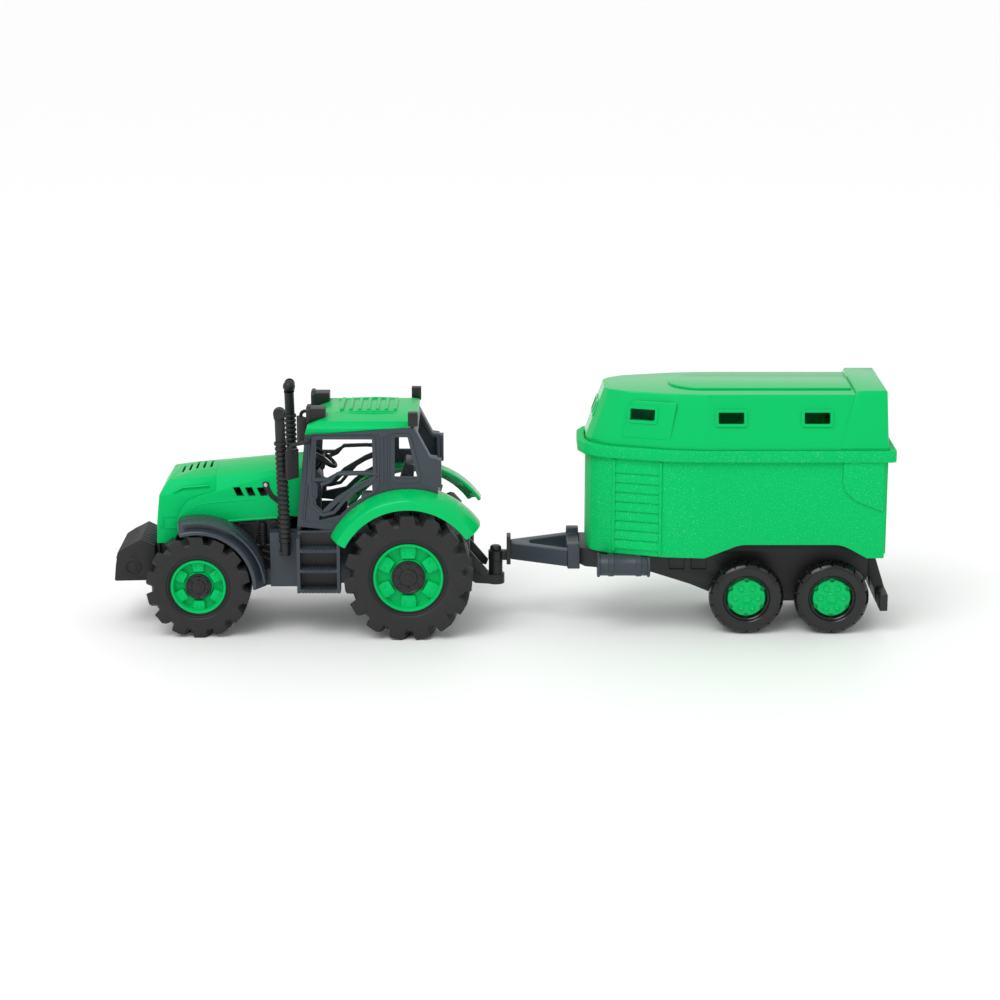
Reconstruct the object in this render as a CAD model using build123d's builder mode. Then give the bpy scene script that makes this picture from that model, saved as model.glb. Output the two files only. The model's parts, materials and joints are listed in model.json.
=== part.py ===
from build123d import *
from math import acos, cos, degrees, radians, sin
import os

os.makedirs("parts", exist_ok=True)

# A toy farm tractor with a twin-axle horse trailer. The nose points to -X, the trailer follows
# behind at +X, +Z is up and the wheels stand on z = 0. All sizes are in millimetres.

# ---- driving dimensions -------------------------------------------------------------------
SHELL = 2.4  # wall of every moulded shell
AXLE_RADIUS = 2.0  # steel rod of all four axles
RUNNING_GAP = 0.05  # radial clearance of a shaft or pin in its bore
JOINT_GAP = 0.3  # gap between faces of pieces that move past each other

REAR_AXLE_X = -66.36
REAR_WHEEL_RADIUS = 46.0
REAR_TRACK = 58.0  # outer face of the rear tyres
REAR_TYRE_WIDTH = 25.0
FRONT_AXLE_X = -217.26
FRONT_WHEEL_RADIUS = 37.5
FRONT_TRACK = 52.0
FRONT_TYRE_WIDTH = 20.0
TRAILER_AXLE_XS = (176.84, 238.34)
TRAILER_WHEEL_RADIUS = 27.0
TRAILER_TRACK = 45.0
TRAILER_TYRE_WIDTH = 15.5

NOSE_X = -248.66  # front of the bonnet
BONNET_HALF_WIDTH = 28.0
CAB_FRONT_X = -146.06  # foot of the windscreen frame
CAB_REAR_X = -45.06
CAB_HALF_WIDTH = 44.0
SILL_Z = 81.0
ROOF_FRONT_X = -139.56
ROOF_BASE_Z = 147.5
ROOF_HALF_WIDTH = 42.5
ROOF_HEIGHT = 13.8
FLOOR_Z = 66.0
FLOOR_THICKNESS = 4.0
SPINE_HALF_WIDTH = 14.0
SPINE_BOTTOM_Z = 28.0
FENDER_GAP = 2.8  # running room between a tyre and its mudguard
WEIGHT_NOSE_X = -280.46
WEIGHT_HALF_WIDTH = 27.0

HITCH_X = -4.06
HITCH_PIN_RADIUS = 2.5
HITCH_DECK_Z = 44.0  # shoulder that carries the coupling eye
COUPLING_HEIGHT = 7.0

TRAILER_FRONT_X = 61.24
TRAILER_REAR_X = 273.64
TRAILER_HALF_WIDTH = 50.5
TRAILER_FLOOR_Z = 59.0
TRAILER_RIM_Z = 138.5
RIM_BAND = 8.5
RIM_PROUD = 3.0  # how far the rim band stands out from the side walls
WHEEL_ARCH_RISE = 9.9
LID_HEIGHT = 38.0
LID_TOP_HALF_WIDTH = 40.0
DOOR_HALF_WIDTH = 40.0
DOOR_HEIGHT = 64.0

TRAILER_CHASSIS_HALF_WIDTH = 22.0

pieces = {}


# ---- construction helpers -----------------------------------------------------------------
def side_plane(y):
    """The upright plane at a given y, with X to the right and Z up."""
    return Plane.XZ.offset(-y)


def plate(outline, y_start, y_end, mode=Mode.ADD):
    """Add a plate with a straight-sided XZ outline between two y values."""
    with BuildSketch(side_plane(y_start)) as face:
        with BuildLine():
            Polyline(*outline, close=True)
        make_face()
    extrude(face.sketch, amount=y_start - y_end, mode=mode)


def block(x, y, z, mode=Mode.ADD):
    """Add a box given by its (low, high) spans on the three axes."""
    with Locations(((x[0] + x[1]) / 2, (y[0] + y[1]) / 2, (z[0] + z[1]) / 2)):
        Box(abs(x[1] - x[0]), abs(y[1] - y[0]), z[1] - z[0], mode=mode)


def cross_rod(x, z, radius, y_start, y_end, mode=Mode.ADD):
    """Add a cylinder that lies across the vehicle."""
    with BuildSketch(side_plane(y_start)) as disc:
        with Locations((x, z)):
            Circle(radius)
    extrude(disc.sketch, amount=y_start - y_end, mode=mode)


def ring_section(outline, axle_x, axle_z):
    """Revolve a (radius, y) outline all the way round a cross axle."""
    with BuildSketch(Plane.XY.offset(axle_z)) as section:
        with BuildLine():
            Polyline(*[(axle_x + r, y) for r, y in outline], close=True)
        make_face()
    revolve(section.sketch, axis=Axis((axle_x, 0, axle_z), (0, 1, 0)))


def guard_section(outline, axle_x, axle_z, rear_angle, front_angle):
    """Revolve a (radius, y) outline over part of a turn, angles measured up from +X."""
    start = Plane(
        origin=(axle_x, 0, axle_z),
        x_dir=(cos(radians(rear_angle)), 0, sin(radians(rear_angle))),
        z_dir=(sin(radians(rear_angle)), 0, -cos(radians(rear_angle))),
    )
    with BuildSketch(start) as section:
        with BuildLine():
            Polyline(*[(r, -y) for r, y in outline], close=True)
        make_face()
    revolve(
        section.sketch,
        axis=Axis((axle_x, 0, axle_z), (0, -1, 0)),
        revolution_arc=front_angle - rear_angle,
    )


def cab_front_x(z):
    """Outer face of the windscreen frame, which leans back as it rises."""
    return CAB_FRONT_X + 0.1 * (z - SILL_Z)


def roof_base_z(x):
    """Seam between the cab frame and the roof, which rises to the rear."""
    return ROOF_BASE_Z + 0.0764 * (x - ROOF_FRONT_X)


# ---- wheels ------------------------------------------------------------------------------
def tyre(axle_x, radius, width, outer_y, seat_radius, lugs, lug_depth, tilt, side):
    """A lugged tyre: two rows of slanted blocks, staggered by half a pitch."""
    middle_y = side * (outer_y - width / 2)
    half = width / 2
    shoulder = lug_depth * 0.6
    with BuildPart(Plane((axle_x, middle_y, radius), x_dir=(1, 0, 0), z_dir=(0, 1, 0))) as carcass:
        ring_section(
            [
                (seat_radius, middle_y - half + 2),
                (seat_radius + 3, middle_y - half),
                (radius - shoulder * 1.6, middle_y - half),
                (radius, middle_y - half + shoulder),
                (radius, middle_y + half - shoulder),
                (radius - shoulder * 1.6, middle_y + half),
                (seat_radius + 3, middle_y + half),
                (seat_radius, middle_y + half - 2),
            ],
            axle_x,
            radius,
        )
        pitch = 360 / lugs
        for row in (-1, 1):
            shift = 90 + pitch / 2 + (pitch / 2 if row == side else 0)
            with PolarLocations(radius, lugs, start_angle=shift):
                Box(
                    2 * lug_depth,
                    radius * radians(pitch) * 0.42,
                    half * 1.25,
                    rotation=(row * tilt, 0, 0),
                    align=(Align.CENTER, Align.CENTER, Align.MIN if row > 0 else Align.MAX),
                    mode=Mode.SUBTRACT,
                )
    return carcass.part


def rim(axle_x, radius, outer_y, width, seat_radius, hub_radius, spokes, side):
    """A deep dished rim with a raised hub and a ring of raised blocks between them."""
    face_y = side * (outer_y - 1.2)
    dish_y = side * (outer_y - 7.5)
    hub_y = side * (outer_y - 4.5)
    back_y = side * (outer_y - width + 2)
    lip = seat_radius - 2.6
    with BuildPart(Plane((axle_x, dish_y, radius), x_dir=(1, 0, 0), z_dir=(0, side, 0))) as dish:
        ring_section(
            [
                (AXLE_RADIUS, back_y),
                (seat_radius, back_y),
                (seat_radius, face_y),
                (lip, face_y),
                (lip - 0.8, dish_y),
                (hub_radius + 0.6, dish_y),
                (hub_radius, hub_y),
                (AXLE_RADIUS, hub_y),
            ],
            axle_x,
            radius,
        )
        with PolarLocations((hub_radius + lip) / 2 + 0.4, spokes):
            Box(
                lip - hub_radius - 2.5,
                (hub_radius + lip) / spokes * 1.9,
                3.6,
                align=(Align.CENTER, Align.CENTER, Align.MIN),
            )
    return dish.part


def hub_cap(axle_x, radius, outer_y, cap_radius, bolts, side):
    """A black cap on the hub, with a ring of bolt heads and a hexagon nut."""
    seat_y = side * (outer_y - 4.5)
    with BuildPart(Plane((axle_x, seat_y, radius), x_dir=(1, 0, 0), z_dir=(0, side, 0))) as cap:
        with Locations((0, 0, 0)):
            Cylinder(cap_radius, 2.0, align=(Align.CENTER, Align.CENTER, Align.MIN))
        with Locations((0, 0, 2.0)):
            Cylinder(cap_radius * 0.42, 0.9, align=(Align.CENTER, Align.CENTER, Align.MIN))
        with PolarLocations(cap_radius * 0.72, bolts):
            Cylinder(cap_radius * 0.11, 2.8, align=(Align.CENTER, Align.CENTER, Align.MIN))
        with BuildSketch(side_plane(seat_y + side * 2.9)) as nut:
            with Locations((axle_x, radius)):
                RegularPolygon(cap_radius * 0.26, 6)
        extrude(nut.sketch, amount=-side * 1.4)
    return cap.part


def axle(axle_x, radius, half_length):
    """A plain steel rod across the vehicle."""
    with BuildPart() as rod:
        cross_rod(axle_x, radius, AXLE_RADIUS, -half_length, half_length)
        chamfer(rod.edges().filter_by(GeomType.CIRCLE), 0.4)
    return rod.part


pieces["front_axle"] = axle(FRONT_AXLE_X, FRONT_WHEEL_RADIUS, FRONT_TRACK - 4.5)
pieces["rear_axle"] = axle(REAR_AXLE_X, REAR_WHEEL_RADIUS, REAR_TRACK - 4.5)
for side, name in ((-1, "left"), (1, "right")):
    pieces[f"front_tyre_{name}"] = tyre(
        FRONT_AXLE_X, FRONT_WHEEL_RADIUS, FRONT_TYRE_WIDTH, FRONT_TRACK, 20.0, 14, 4.0, 22, side
    )
    pieces[f"rear_tyre_{name}"] = tyre(
        REAR_AXLE_X, REAR_WHEEL_RADIUS, REAR_TYRE_WIDTH, REAR_TRACK, 25.2, 15, 4.8, 22, side
    )
    pieces[f"front_rim_{name}"] = rim(
        FRONT_AXLE_X, FRONT_WHEEL_RADIUS, FRONT_TRACK, FRONT_TYRE_WIDTH, 20.0, 9.2, 6, side
    )
    pieces[f"rear_rim_{name}"] = rim(
        REAR_AXLE_X, REAR_WHEEL_RADIUS, REAR_TRACK, REAR_TYRE_WIDTH, 25.2, 11.8, 6, side
    )
with BuildPart() as front_caps:
    for side in (-1, 1):
        add(hub_cap(FRONT_AXLE_X, FRONT_WHEEL_RADIUS, FRONT_TRACK, 9.6, 6, side))
pieces["front_hub_caps"] = front_caps.part
with BuildPart() as rear_caps:
    for side in (-1, 1):
        add(hub_cap(REAR_AXLE_X, REAR_WHEEL_RADIUS, REAR_TRACK, 12.4, 8, side))
pieces["rear_hub_caps"] = rear_caps.part


def trailer_tyre(axle_x, side):
    """A smooth-shouldered tyre with shallow cuts across its tread."""
    radius = TRAILER_WHEEL_RADIUS
    outer = side * TRAILER_TRACK
    inner = side * (TRAILER_TRACK - TRAILER_TYRE_WIDTH)
    with BuildPart(Plane((axle_x, (outer + inner) / 2, radius), x_dir=(1, 0, 0), z_dir=(0, 1, 0))) as ring:
        ring_section(
            [
                (14.6, inner + side * 1.5),
                (radius - 6, inner),
                (radius - 1.5, inner + side * 1.5),
                (radius, inner + side * 4),
                (radius, outer - side * 4),
                (radius - 1.5, outer - side * 1.5),
                (radius - 6, outer),
                (14.6, outer - side * 1.5),
            ],
            axle_x,
            radius,
        )
        with PolarLocations(radius, 20, start_angle=99):
            Box(1.6, 1.6, TRAILER_TYRE_WIDTH * 0.62, mode=Mode.SUBTRACT)
    return ring.part


def trailer_hub(axle_x, side):
    """A green hub with a centre boss, six round bumps and six notches in its edge."""
    radius = TRAILER_WHEEL_RADIUS
    face_y = side * (TRAILER_TRACK - 3.5)
    back_y = side * (TRAILER_TRACK - TRAILER_TYRE_WIDTH + 1.5)
    with BuildPart(Plane((axle_x, face_y, radius), x_dir=(1, 0, 0), z_dir=(0, side, 0))) as hub:
        ring_section(
            [(AXLE_RADIUS, back_y), (14.6, back_y), (14.6, face_y), (AXLE_RADIUS, face_y)],
            axle_x,
            radius,
        )
        with PolarLocations(14.6, 6, start_angle=30):
            Box(3.0, 3.2, 3.0, mode=Mode.SUBTRACT)
        Cylinder(4.2, 2.4, align=(Align.CENTER, Align.CENTER, Align.MIN))
        with PolarLocations(8.2, 6):
            Cylinder(2.5, 1.6, align=(Align.CENTER, Align.CENTER, Align.MIN))
    return hub.part


for axle_x, name in zip(TRAILER_AXLE_XS, ("front", "rear")):
    pieces[f"trailer_{name}_axle"] = axle(axle_x, TRAILER_WHEEL_RADIUS, TRAILER_TRACK - 3.5)
    with BuildPart() as tyre_pair:
        for side in (-1, 1):
            add(trailer_tyre(axle_x, side))
    pieces[f"trailer_{name}_tyres"] = tyre_pair.part
    with BuildPart() as hub_pair:
        for side in (-1, 1):
            add(trailer_hub(axle_x, side))
    pieces[f"trailer_{name}_hubs"] = hub_pair.part


# ---- tractor: spine, engine, weight -------------------------------------------------------
spine_top_z = FLOOR_Z
front_arch = FRONT_WHEEL_RADIUS + FENDER_GAP
rear_arch = REAR_WHEEL_RADIUS + FENDER_GAP

with BuildPart() as spine:
    plate(
        [
            (NOSE_X + 0.6, 36),
            (NOSE_X + 0.6, 62),
            (NOSE_X + 46, 62),
            (CAB_FRONT_X - 6, 62),
            (CAB_FRONT_X - 6, spine_top_z),
            (CAB_REAR_X + 22, spine_top_z),
            (CAB_REAR_X + 22, 38),
            (CAB_REAR_X + 4, 32),
            (FRONT_AXLE_X + 24, SPINE_BOTTOM_Z),
            (FRONT_AXLE_X - 14, SPINE_BOTTOM_Z),
        ],
        -SPINE_HALF_WIDTH,
        SPINE_HALF_WIDTH,
    )
    for axle_x, axle_z, housing, reach in (
        (FRONT_AXLE_X, FRONT_WHEEL_RADIUS, 7.0, FRONT_TRACK - FRONT_TYRE_WIDTH - 1.5),
        (REAR_AXLE_X, REAR_WHEEL_RADIUS, 11.0, REAR_TRACK - REAR_TYRE_WIDTH - 1.5),
    ):
        cross_rod(axle_x, axle_z, housing, -reach, reach)
        cross_rod(axle_x, axle_z, AXLE_RADIUS + RUNNING_GAP, -reach, reach, Mode.SUBTRACT)
pieces["chassis"] = spine.part

engine_rear_x = CAB_FRONT_X - 6
inner_half = BONNET_HALF_WIDTH - SHELL
with BuildPart() as engine:
    block((CAB_FRONT_X - 56, engine_rear_x), (-inner_half, inner_half), (62, 92))
    for side in (-1, 1):
        face = side * SPINE_HALF_WIDTH
        block((CAB_FRONT_X - 34, engine_rear_x), (face, side * inner_half), (44, 62))
        cross_rod(CAB_FRONT_X - 14, 70, 5.2, side * inner_half, side * (inner_half + 1.8))
pieces["engine_block"] = engine.part

with BuildPart() as weight:
    plate(
        [
            (WEIGHT_NOSE_X, 35.4),
            (WEIGHT_NOSE_X + 1, 46),
            (WEIGHT_NOSE_X + 2.6, 56.5),
            (WEIGHT_NOSE_X + 9, 60.6),
            (WEIGHT_NOSE_X + 19.4, 66.3),
            (NOSE_X - 1.8, 61),
            (NOSE_X - 1.8, 36),
        ],
        -WEIGHT_HALF_WIDTH,
        WEIGHT_HALF_WIDTH,
    )
    fillet(weight.edges().filter_by(Axis.Y).sort_by(Axis.X)[0:2], 1.2)
    for rib in range(7):
        y = (rib - 3) * WEIGHT_HALF_WIDTH / 3.6
        block((NOSE_X - 13, NOSE_X - 1.8), (y - 1.4, y + 1.4), (54, 60), Mode.ADD)
    for side in (-1, 1):
        cross_rod(NOSE_X - 18, 46, 5.4, side * WEIGHT_HALF_WIDTH, side * (WEIGHT_HALF_WIDTH - 1.2), Mode.SUBTRACT)
        cross_rod(NOSE_X - 18, 46, 3.2, side * (WEIGHT_HALF_WIDTH - 1.2), side * WEIGHT_HALF_WIDTH)
pieces["front_weight"] = weight.part

with BuildPart() as weight_bracket:
    block((NOSE_X - 1.8, NOSE_X + 0.6), (-17, 17), (38, 62))
pieces["weight_bracket"] = weight_bracket.part

# ---- bonnet: one outer form, split into nose and rear shell --------------------------------
bonnet_rise = 5.3  # slope of the bonnet's top line, degrees


def bonnet_solid(inset):
    """The bonnet's outer form, or with an inset the hollow under it."""
    slope = Plane(
        origin=(NOSE_X - 12, 0, 96.6),
        x_dir=(0, 1, 0),
        z_dir=(cos(radians(bonnet_rise)), 0, sin(radians(bonnet_rise))),
    )
    half = BONNET_HALF_WIDTH - inset
    with BuildPart() as form:
        with BuildSketch(slope) as section:
            with BuildLine():
                Polyline(
                    (-half, -45),
                    (-half, 1),
                    (-half + 4.4, 11.6 - inset),
                    (-half + 15, 14.8 - inset),
                    (0, 16.2 - inset),
                    (half - 15, 14.8 - inset),
                    (half - 4.4, 11.6 - inset),
                    (half, 1),
                    (half, -45),
                    close=True,
                )
            make_face()
        extrude(section.sketch, amount=150)
        with BuildSketch(side_plane(60)) as silhouette:
            with BuildLine():
                Polyline(
                    (NOSE_X + inset, 64.2 - inset),
                    (NOSE_X + 0.5 + inset, 80),
                    (NOSE_X + 2.6 + inset, 100 - inset / 2),
                    (NOSE_X + 8.9 + inset, 110 - inset),
                    (NOSE_X + 30, 116),
                    (cab_front_x(128) + inset, 128),
                    (cab_front_x(84) + inset, 84),
                    (CAB_FRONT_X - 9.6, 85),
                    (CAB_FRONT_X - 34.8, 81.3),
                    (NOSE_X + 17, 76 - inset),
                    (NOSE_X + 12, 64.2 - inset),
                    close=True,
                )
            make_face()
        extrude(silhouette.sketch, amount=120, mode=Mode.INTERSECT)
    return form.part


def nose_split(mode):
    """The side outline of the nose cap, cut right across the bonnet."""
    plate(
        [
            (NOSE_X - 3, 60),
            (NOSE_X - 3, 125),
            (NOSE_X + 43.6, 125),
            (NOSE_X + 43.6, 103.7),
            (NOSE_X + 30.6, 99.4),
            (NOSE_X + 23.8, 96.5),
            (NOSE_X + 19, 90.9),
            (NOSE_X + 16.2, 85.2),
            (NOSE_X + 14.5, 79.9),
            (NOSE_X + 14.5, 60),
        ],
        -BONNET_HALF_WIDTH - 5,
        BONNET_HALF_WIDTH + 5,
        mode,
    )


bonnet_form = bonnet_solid(0)
bonnet_hollow = bonnet_solid(SHELL)
with BuildPart() as nose:
    add(bonnet_form)
    add(bonnet_hollow, mode=Mode.SUBTRACT)
    nose_split(Mode.INTERSECT)
    for louvre in range(5):
        x = NOSE_X + 17 + louvre * 5.2
        block((x, x + 1.6), (-10, 10), (104, 125), Mode.SUBTRACT)
pieces["bonnet_nose"] = nose.part

with BuildPart() as shell:
    add(bonnet_form)
    add(bonnet_hollow, mode=Mode.SUBTRACT)
    nose_split(Mode.SUBTRACT)
    for slot in range(3):
        x = CAB_FRONT_X - 47 + slot * 8.6
        plate(
            [(x, 105.5), (x + 5.2, 105.9), (x + 8.2, 99.4), (x + 3.0, 99.0)],
            -BONNET_HALF_WIDTH - 2,
            BONNET_HALF_WIDTH + 2,
            Mode.SUBTRACT,
        )
    for louvre in range(4):
        x = CAB_FRONT_X - 17 + louvre * 3.4
        block((x, x + 1.3), (-6, 6), (112, 128), Mode.SUBTRACT)
pieces["bonnet_shell"] = shell.part

# ---- cab ----------------------------------------------------------------------------------
side_inner = CAB_HALF_WIDTH - SHELL
fender_top = rear_arch + 13.7  # radius of the mudguard's upper edge, where the cab stands on it
fender_front_angle = 153.8
fender_rear_angle = 34.5


def on_arch(axle_x, axle_z, radius, angle):
    """The XZ point at a radius and angle from a wheel's centre."""
    return (axle_x + radius * cos(radians(angle)), axle_z + radius * sin(radians(angle)))


arch_end_angle = degrees(acos((CAB_REAR_X - REAR_AXLE_X) / fender_top))
arch_points = [
    on_arch(REAR_AXLE_X, REAR_WHEEL_RADIUS, fender_top, angle) for angle in (149, 110, arch_end_angle)
]
pillar_x = cab_front_x(ROOF_BASE_Z)
for side, name in ((-1, "left"), (1, "right")):
    with BuildPart() as cab_side:
        with BuildSketch(side_plane(side * side_inner)) as outline:
            with BuildLine():
                ThreePointArc(*arch_points)
                Polyline(
                    arch_points[2],
                    (CAB_REAR_X - 0.6, 130.6),
                    (CAB_REAR_X - 5.5, 131.4),
                    (CAB_REAR_X - 17, roof_base_z(CAB_REAR_X - 17)),
                    (pillar_x, roof_base_z(pillar_x)),
                    (CAB_FRONT_X, SILL_Z),
                    arch_points[0],
                )
            make_face()
            with BuildLine():
                Polyline(
                    (cab_front_x(144.5) + 8.4, 144.5),
                    (CAB_REAR_X - 46.6, 146.7),
                    (CAB_REAR_X - 45.5, 117),
                    (CAB_REAR_X - 56, 112.6),
                    (CAB_REAR_X - 72, 103),
                    (CAB_REAR_X - 82.9, 92.4),
                    (CAB_REAR_X - 87.1, 96.5),
                    (CAB_REAR_X - 88, 112),
                    close=True,
                )
            make_face(mode=Mode.SUBTRACT)
            with BuildLine():
                Polyline(
                    (CAB_REAR_X - 31, 147),
                    (CAB_REAR_X - 18.9, 146.7),
                    (CAB_REAR_X - 14.2, 117.4),
                    (CAB_REAR_X - 31.3, 117.4),
                    close=True,
                )
            make_face(mode=Mode.SUBTRACT)
            with BuildLine():
                Polyline(
                    (CAB_FRONT_X + 16, SILL_Z + 4.5),
                    (CAB_FRONT_X + 16, SILL_Z + 7.6),
                    (CAB_FRONT_X + 19.6, SILL_Z + 7.8),
                    (CAB_FRONT_X + 30, SILL_Z + 17.8),
                    (CAB_FRONT_X + 44.6, SILL_Z + 27.2),
                    (CAB_FRONT_X + 54, SILL_Z + 31),
                    *[
                        on_arch(REAR_AXLE_X, REAR_WHEEL_RADIUS, fender_top + 2.6, angle)
                        for angle in (113, 122, 131, 139)
                    ],
                    close=True,
                )
            make_face(mode=Mode.SUBTRACT)
        extrude(outline.sketch, amount=-side * SHELL)
        rail = [
            (CAB_REAR_X - 77.5, 115),
            (CAB_REAR_X - 70, 119.2),
            (CAB_REAR_X - 45, 119.8),
            (CAB_REAR_X - 45, 121.8),
            (CAB_REAR_X - 70.4, 121.2),
            (CAB_REAR_X - 78.5, 116.7),
        ]
        plate(rail, side * side_inner, side * CAB_HALF_WIDTH)
        block(
            (CAB_REAR_X - 90.2, CAB_REAR_X - 77.5),
            (side * side_inner, side * CAB_HALF_WIDTH),
            (114.2, 116.6),
        )
    pieces[f"cab_side_{name}"] = cab_side.part

with BuildPart() as front_frame:
    plate(
        [
            (CAB_FRONT_X, SILL_Z),
            (cab_front_x(roof_base_z(pillar_x)), roof_base_z(pillar_x)),
            (cab_front_x(roof_base_z(pillar_x)) + SHELL, roof_base_z(pillar_x + SHELL)),
            (CAB_FRONT_X + SHELL, SILL_Z),
            (CAB_FRONT_X + SHELL, FLOOR_Z),
            (CAB_FRONT_X, FLOOR_Z),
        ],
        -side_inner,
        side_inner,
    )
    block((CAB_FRONT_X - 3, CAB_FRONT_X + 12), (-36, 36), (120.5, 143), Mode.SUBTRACT)
    for side in (-1, 1):
        block(
            (CAB_FRONT_X - 3, CAB_FRONT_X + 12),
            (side * (BONNET_HALF_WIDTH + 2), side * 38),
            (92, 124),
            Mode.SUBTRACT,
        )
pieces["cab_front_frame"] = front_frame.part

web_inner = REAR_TRACK - REAR_TYRE_WIDTH - 1.2  # clears the inner face of the rear tyres
with BuildPart() as rear_frame:
    plate(
        [
            (CAB_REAR_X, FLOOR_Z),
            (CAB_REAR_X, 108),
            (CAB_REAR_X - 0.6, 130.6),
            (CAB_REAR_X - 5.5, 131.4),
            (CAB_REAR_X - 17, roof_base_z(CAB_REAR_X - 17)),
            (CAB_REAR_X - 19.6, roof_base_z(CAB_REAR_X - 19.6)),
            (CAB_REAR_X - 7.6, 129),
            (CAB_REAR_X - SHELL - 0.4, 128),
            (CAB_REAR_X - SHELL, 108),
            (CAB_REAR_X - SHELL, FLOOR_Z),
        ],
        -side_inner,
        side_inner,
    )
    for side in (-1, 1):
        block((CAB_REAR_X - 5, CAB_REAR_X + 2), (side * web_inner, side * 50), (60, 105.5), Mode.SUBTRACT)
    block((CAB_REAR_X - 22, CAB_REAR_X + 2), (-33, 33), (110, 148), Mode.SUBTRACT)
pieces["cab_rear_frame"] = rear_frame.part

with BuildPart() as cab_floor:
    block(
        (CAB_FRONT_X + SHELL, REAR_AXLE_X - 56.5),
        (-side_inner, side_inner),
        (FLOOR_Z, FLOOR_Z + FLOOR_THICKNESS),
    )
    block(
        (REAR_AXLE_X - 56.5, CAB_REAR_X - SHELL),
        (-web_inner, web_inner),
        (FLOOR_Z, FLOOR_Z + FLOOR_THICKNESS),
    )
pieces["cab_floor"] = cab_floor.part

floor_top = FLOOR_Z + FLOOR_THICKNESS
with BuildPart() as seat:
    seat_x = CAB_REAR_X - 22
    plate(
        [
            (seat_x - 8, floor_top),
            (seat_x - 8, floor_top + 14),
            (seat_x - 34, floor_top + 16),
            (seat_x - 35, floor_top + 23),
            (seat_x - 10, floor_top + 22),
            (seat_x - 3, floor_top + 50),
            (seat_x + 4, floor_top + 49),
            (seat_x + 1, floor_top),
        ],
        -15,
        15,
    )
    fillet(seat.edges().filter_by(Axis.Y).group_by(Axis.Z)[-1], 2)
pieces["seat"] = seat.part

wheel_centre = (CAB_FRONT_X + 16.5, 121.4)
with BuildPart() as console:
    plate(
        [
            (CAB_FRONT_X + SHELL, floor_top),
            (cab_front_x(110) + SHELL, 110),
            (wheel_centre[0] - 5, 113),
            (wheel_centre[0] - 1, 109),
            (CAB_FRONT_X + 14, floor_top),
        ],
        -9,
        9,
    )
pieces["steering_console"] = console.part

with BuildPart() as steering_wheel:
    tilt = Plane(
        origin=(wheel_centre[0], 0, wheel_centre[1]),
        x_dir=(0, 1, 0),
        z_dir=(sin(radians(35)), 0, cos(radians(35))),
    )
    with Locations(tilt):
        Torus(11, 1.4)
        for angle in (0, 120, 240):
            with Locations(Rotation(0, 0, angle)):
                Box(10.6, 2.0, 1.6, align=(Align.MIN, Align.CENTER, Align.CENTER))
    with BuildSketch(tilt) as boss:
        Circle(2.2)
    extrude(boss.sketch, amount=-20)
    add(console.part, mode=Mode.SUBTRACT)
pieces["steering_wheel"] = steering_wheel.part.solids().sort_by(SortBy.VOLUME)[-1]


# ---- roof and its lamps ---------------------------------------------------------------------
def roof_solid(inset, drop):
    """The roof's outer form, or with an inset the hollow under it."""
    crown_z = roof_base_z(ROOF_FRONT_X) + ROOF_HEIGHT
    half = ROOF_HALF_WIDTH - inset
    with BuildPart() as form:
        with BuildSketch(side_plane(60)) as silhouette:
            with BuildLine():
                Polyline(
                    (ROOF_FRONT_X + inset, roof_base_z(ROOF_FRONT_X + inset) - drop),
                    (ROOF_FRONT_X + 1.6 + inset, crown_z - 7.5 - inset),
                    (ROOF_FRONT_X + 15.7 + inset, crown_z - 2.3 - inset),
                    (ROOF_FRONT_X + 48.5, crown_z - inset),
                    (CAB_REAR_X - 19 - inset, crown_z - 1.4 - inset),
                    (CAB_REAR_X - 14.5 - inset, crown_z - 5.4),
                    (CAB_REAR_X - 15.5 - inset, roof_base_z(CAB_REAR_X - 15.5 - inset) - drop),
                    close=True,
                )
            make_face()
        extrude(silhouette.sketch, amount=120)
        with BuildSketch(Plane.YZ.offset(ROOF_FRONT_X - 5)) as section:
            with BuildLine():
                Polyline(
                    (-half, ROOF_BASE_Z - 5),
                    (-half, ROOF_BASE_Z + 5 - inset),
                    (-half + 4.5, ROOF_BASE_Z + 9.2 - inset),
                    (-half + 15, crown_z - 1.8 - inset),
                    (0, crown_z - inset + 0.2),
                    (half - 15, crown_z - 1.8 - inset),
                    (half - 4.5, ROOF_BASE_Z + 9.2 - inset),
                    (half, ROOF_BASE_Z + 5 - inset),
                    (half, ROOF_BASE_Z - 5),
                    close=True,
                )
            make_face()
        extrude(section.sketch, amount=120, mode=Mode.INTERSECT)
    return form.part


roof_form = roof_solid(0, 0)
roof_hollow = roof_solid(SHELL, 3)
with BuildPart() as roof:
    add(roof_form)
    for rib in range(7):
        x = ROOF_FRONT_X + 24 + rib * 6.4
        block((x, x + 2.4), (-19, 19), (ROOF_BASE_Z + 9, ROOF_BASE_Z + ROOF_HEIGHT + 0.6))
    add(roof_hollow, mode=Mode.SUBTRACT)
pieces["roof"] = roof.part

with BuildPart() as front_lamps:
    for side in (-1, 1):
        block(
            (ROOF_FRONT_X + 1, ROOF_FRONT_X + 14),
            (side * 20, side * 33),
            (ROOF_BASE_Z + 6, ROOF_BASE_Z + 17),
        )
        with BuildSketch(Plane.YZ.offset(ROOF_FRONT_X + 1)) as bezel:
            with Locations((side * 26.5, ROOF_BASE_Z + 11.5)):
                RectangleRounded(15, 14, 4)
        extrude(bezel.sketch, amount=2.4)
    add(roof_form, mode=Mode.SUBTRACT)
pieces["roof_lamps_front"] = front_lamps.part

with BuildPart() as rear_lamps:
    for side in (-1, 1):
        block(
            (CAB_REAR_X - 21, CAB_REAR_X - 14),
            (side * (ROOF_HALF_WIDTH - 2.5), side * (CAB_HALF_WIDTH + 2.5)),
            (ROOF_BASE_Z + 7.5, ROOF_BASE_Z + 17),
        )
    add(roof_form, mode=Mode.SUBTRACT)
pieces["roof_lamps_rear"] = rear_lamps.part

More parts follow.
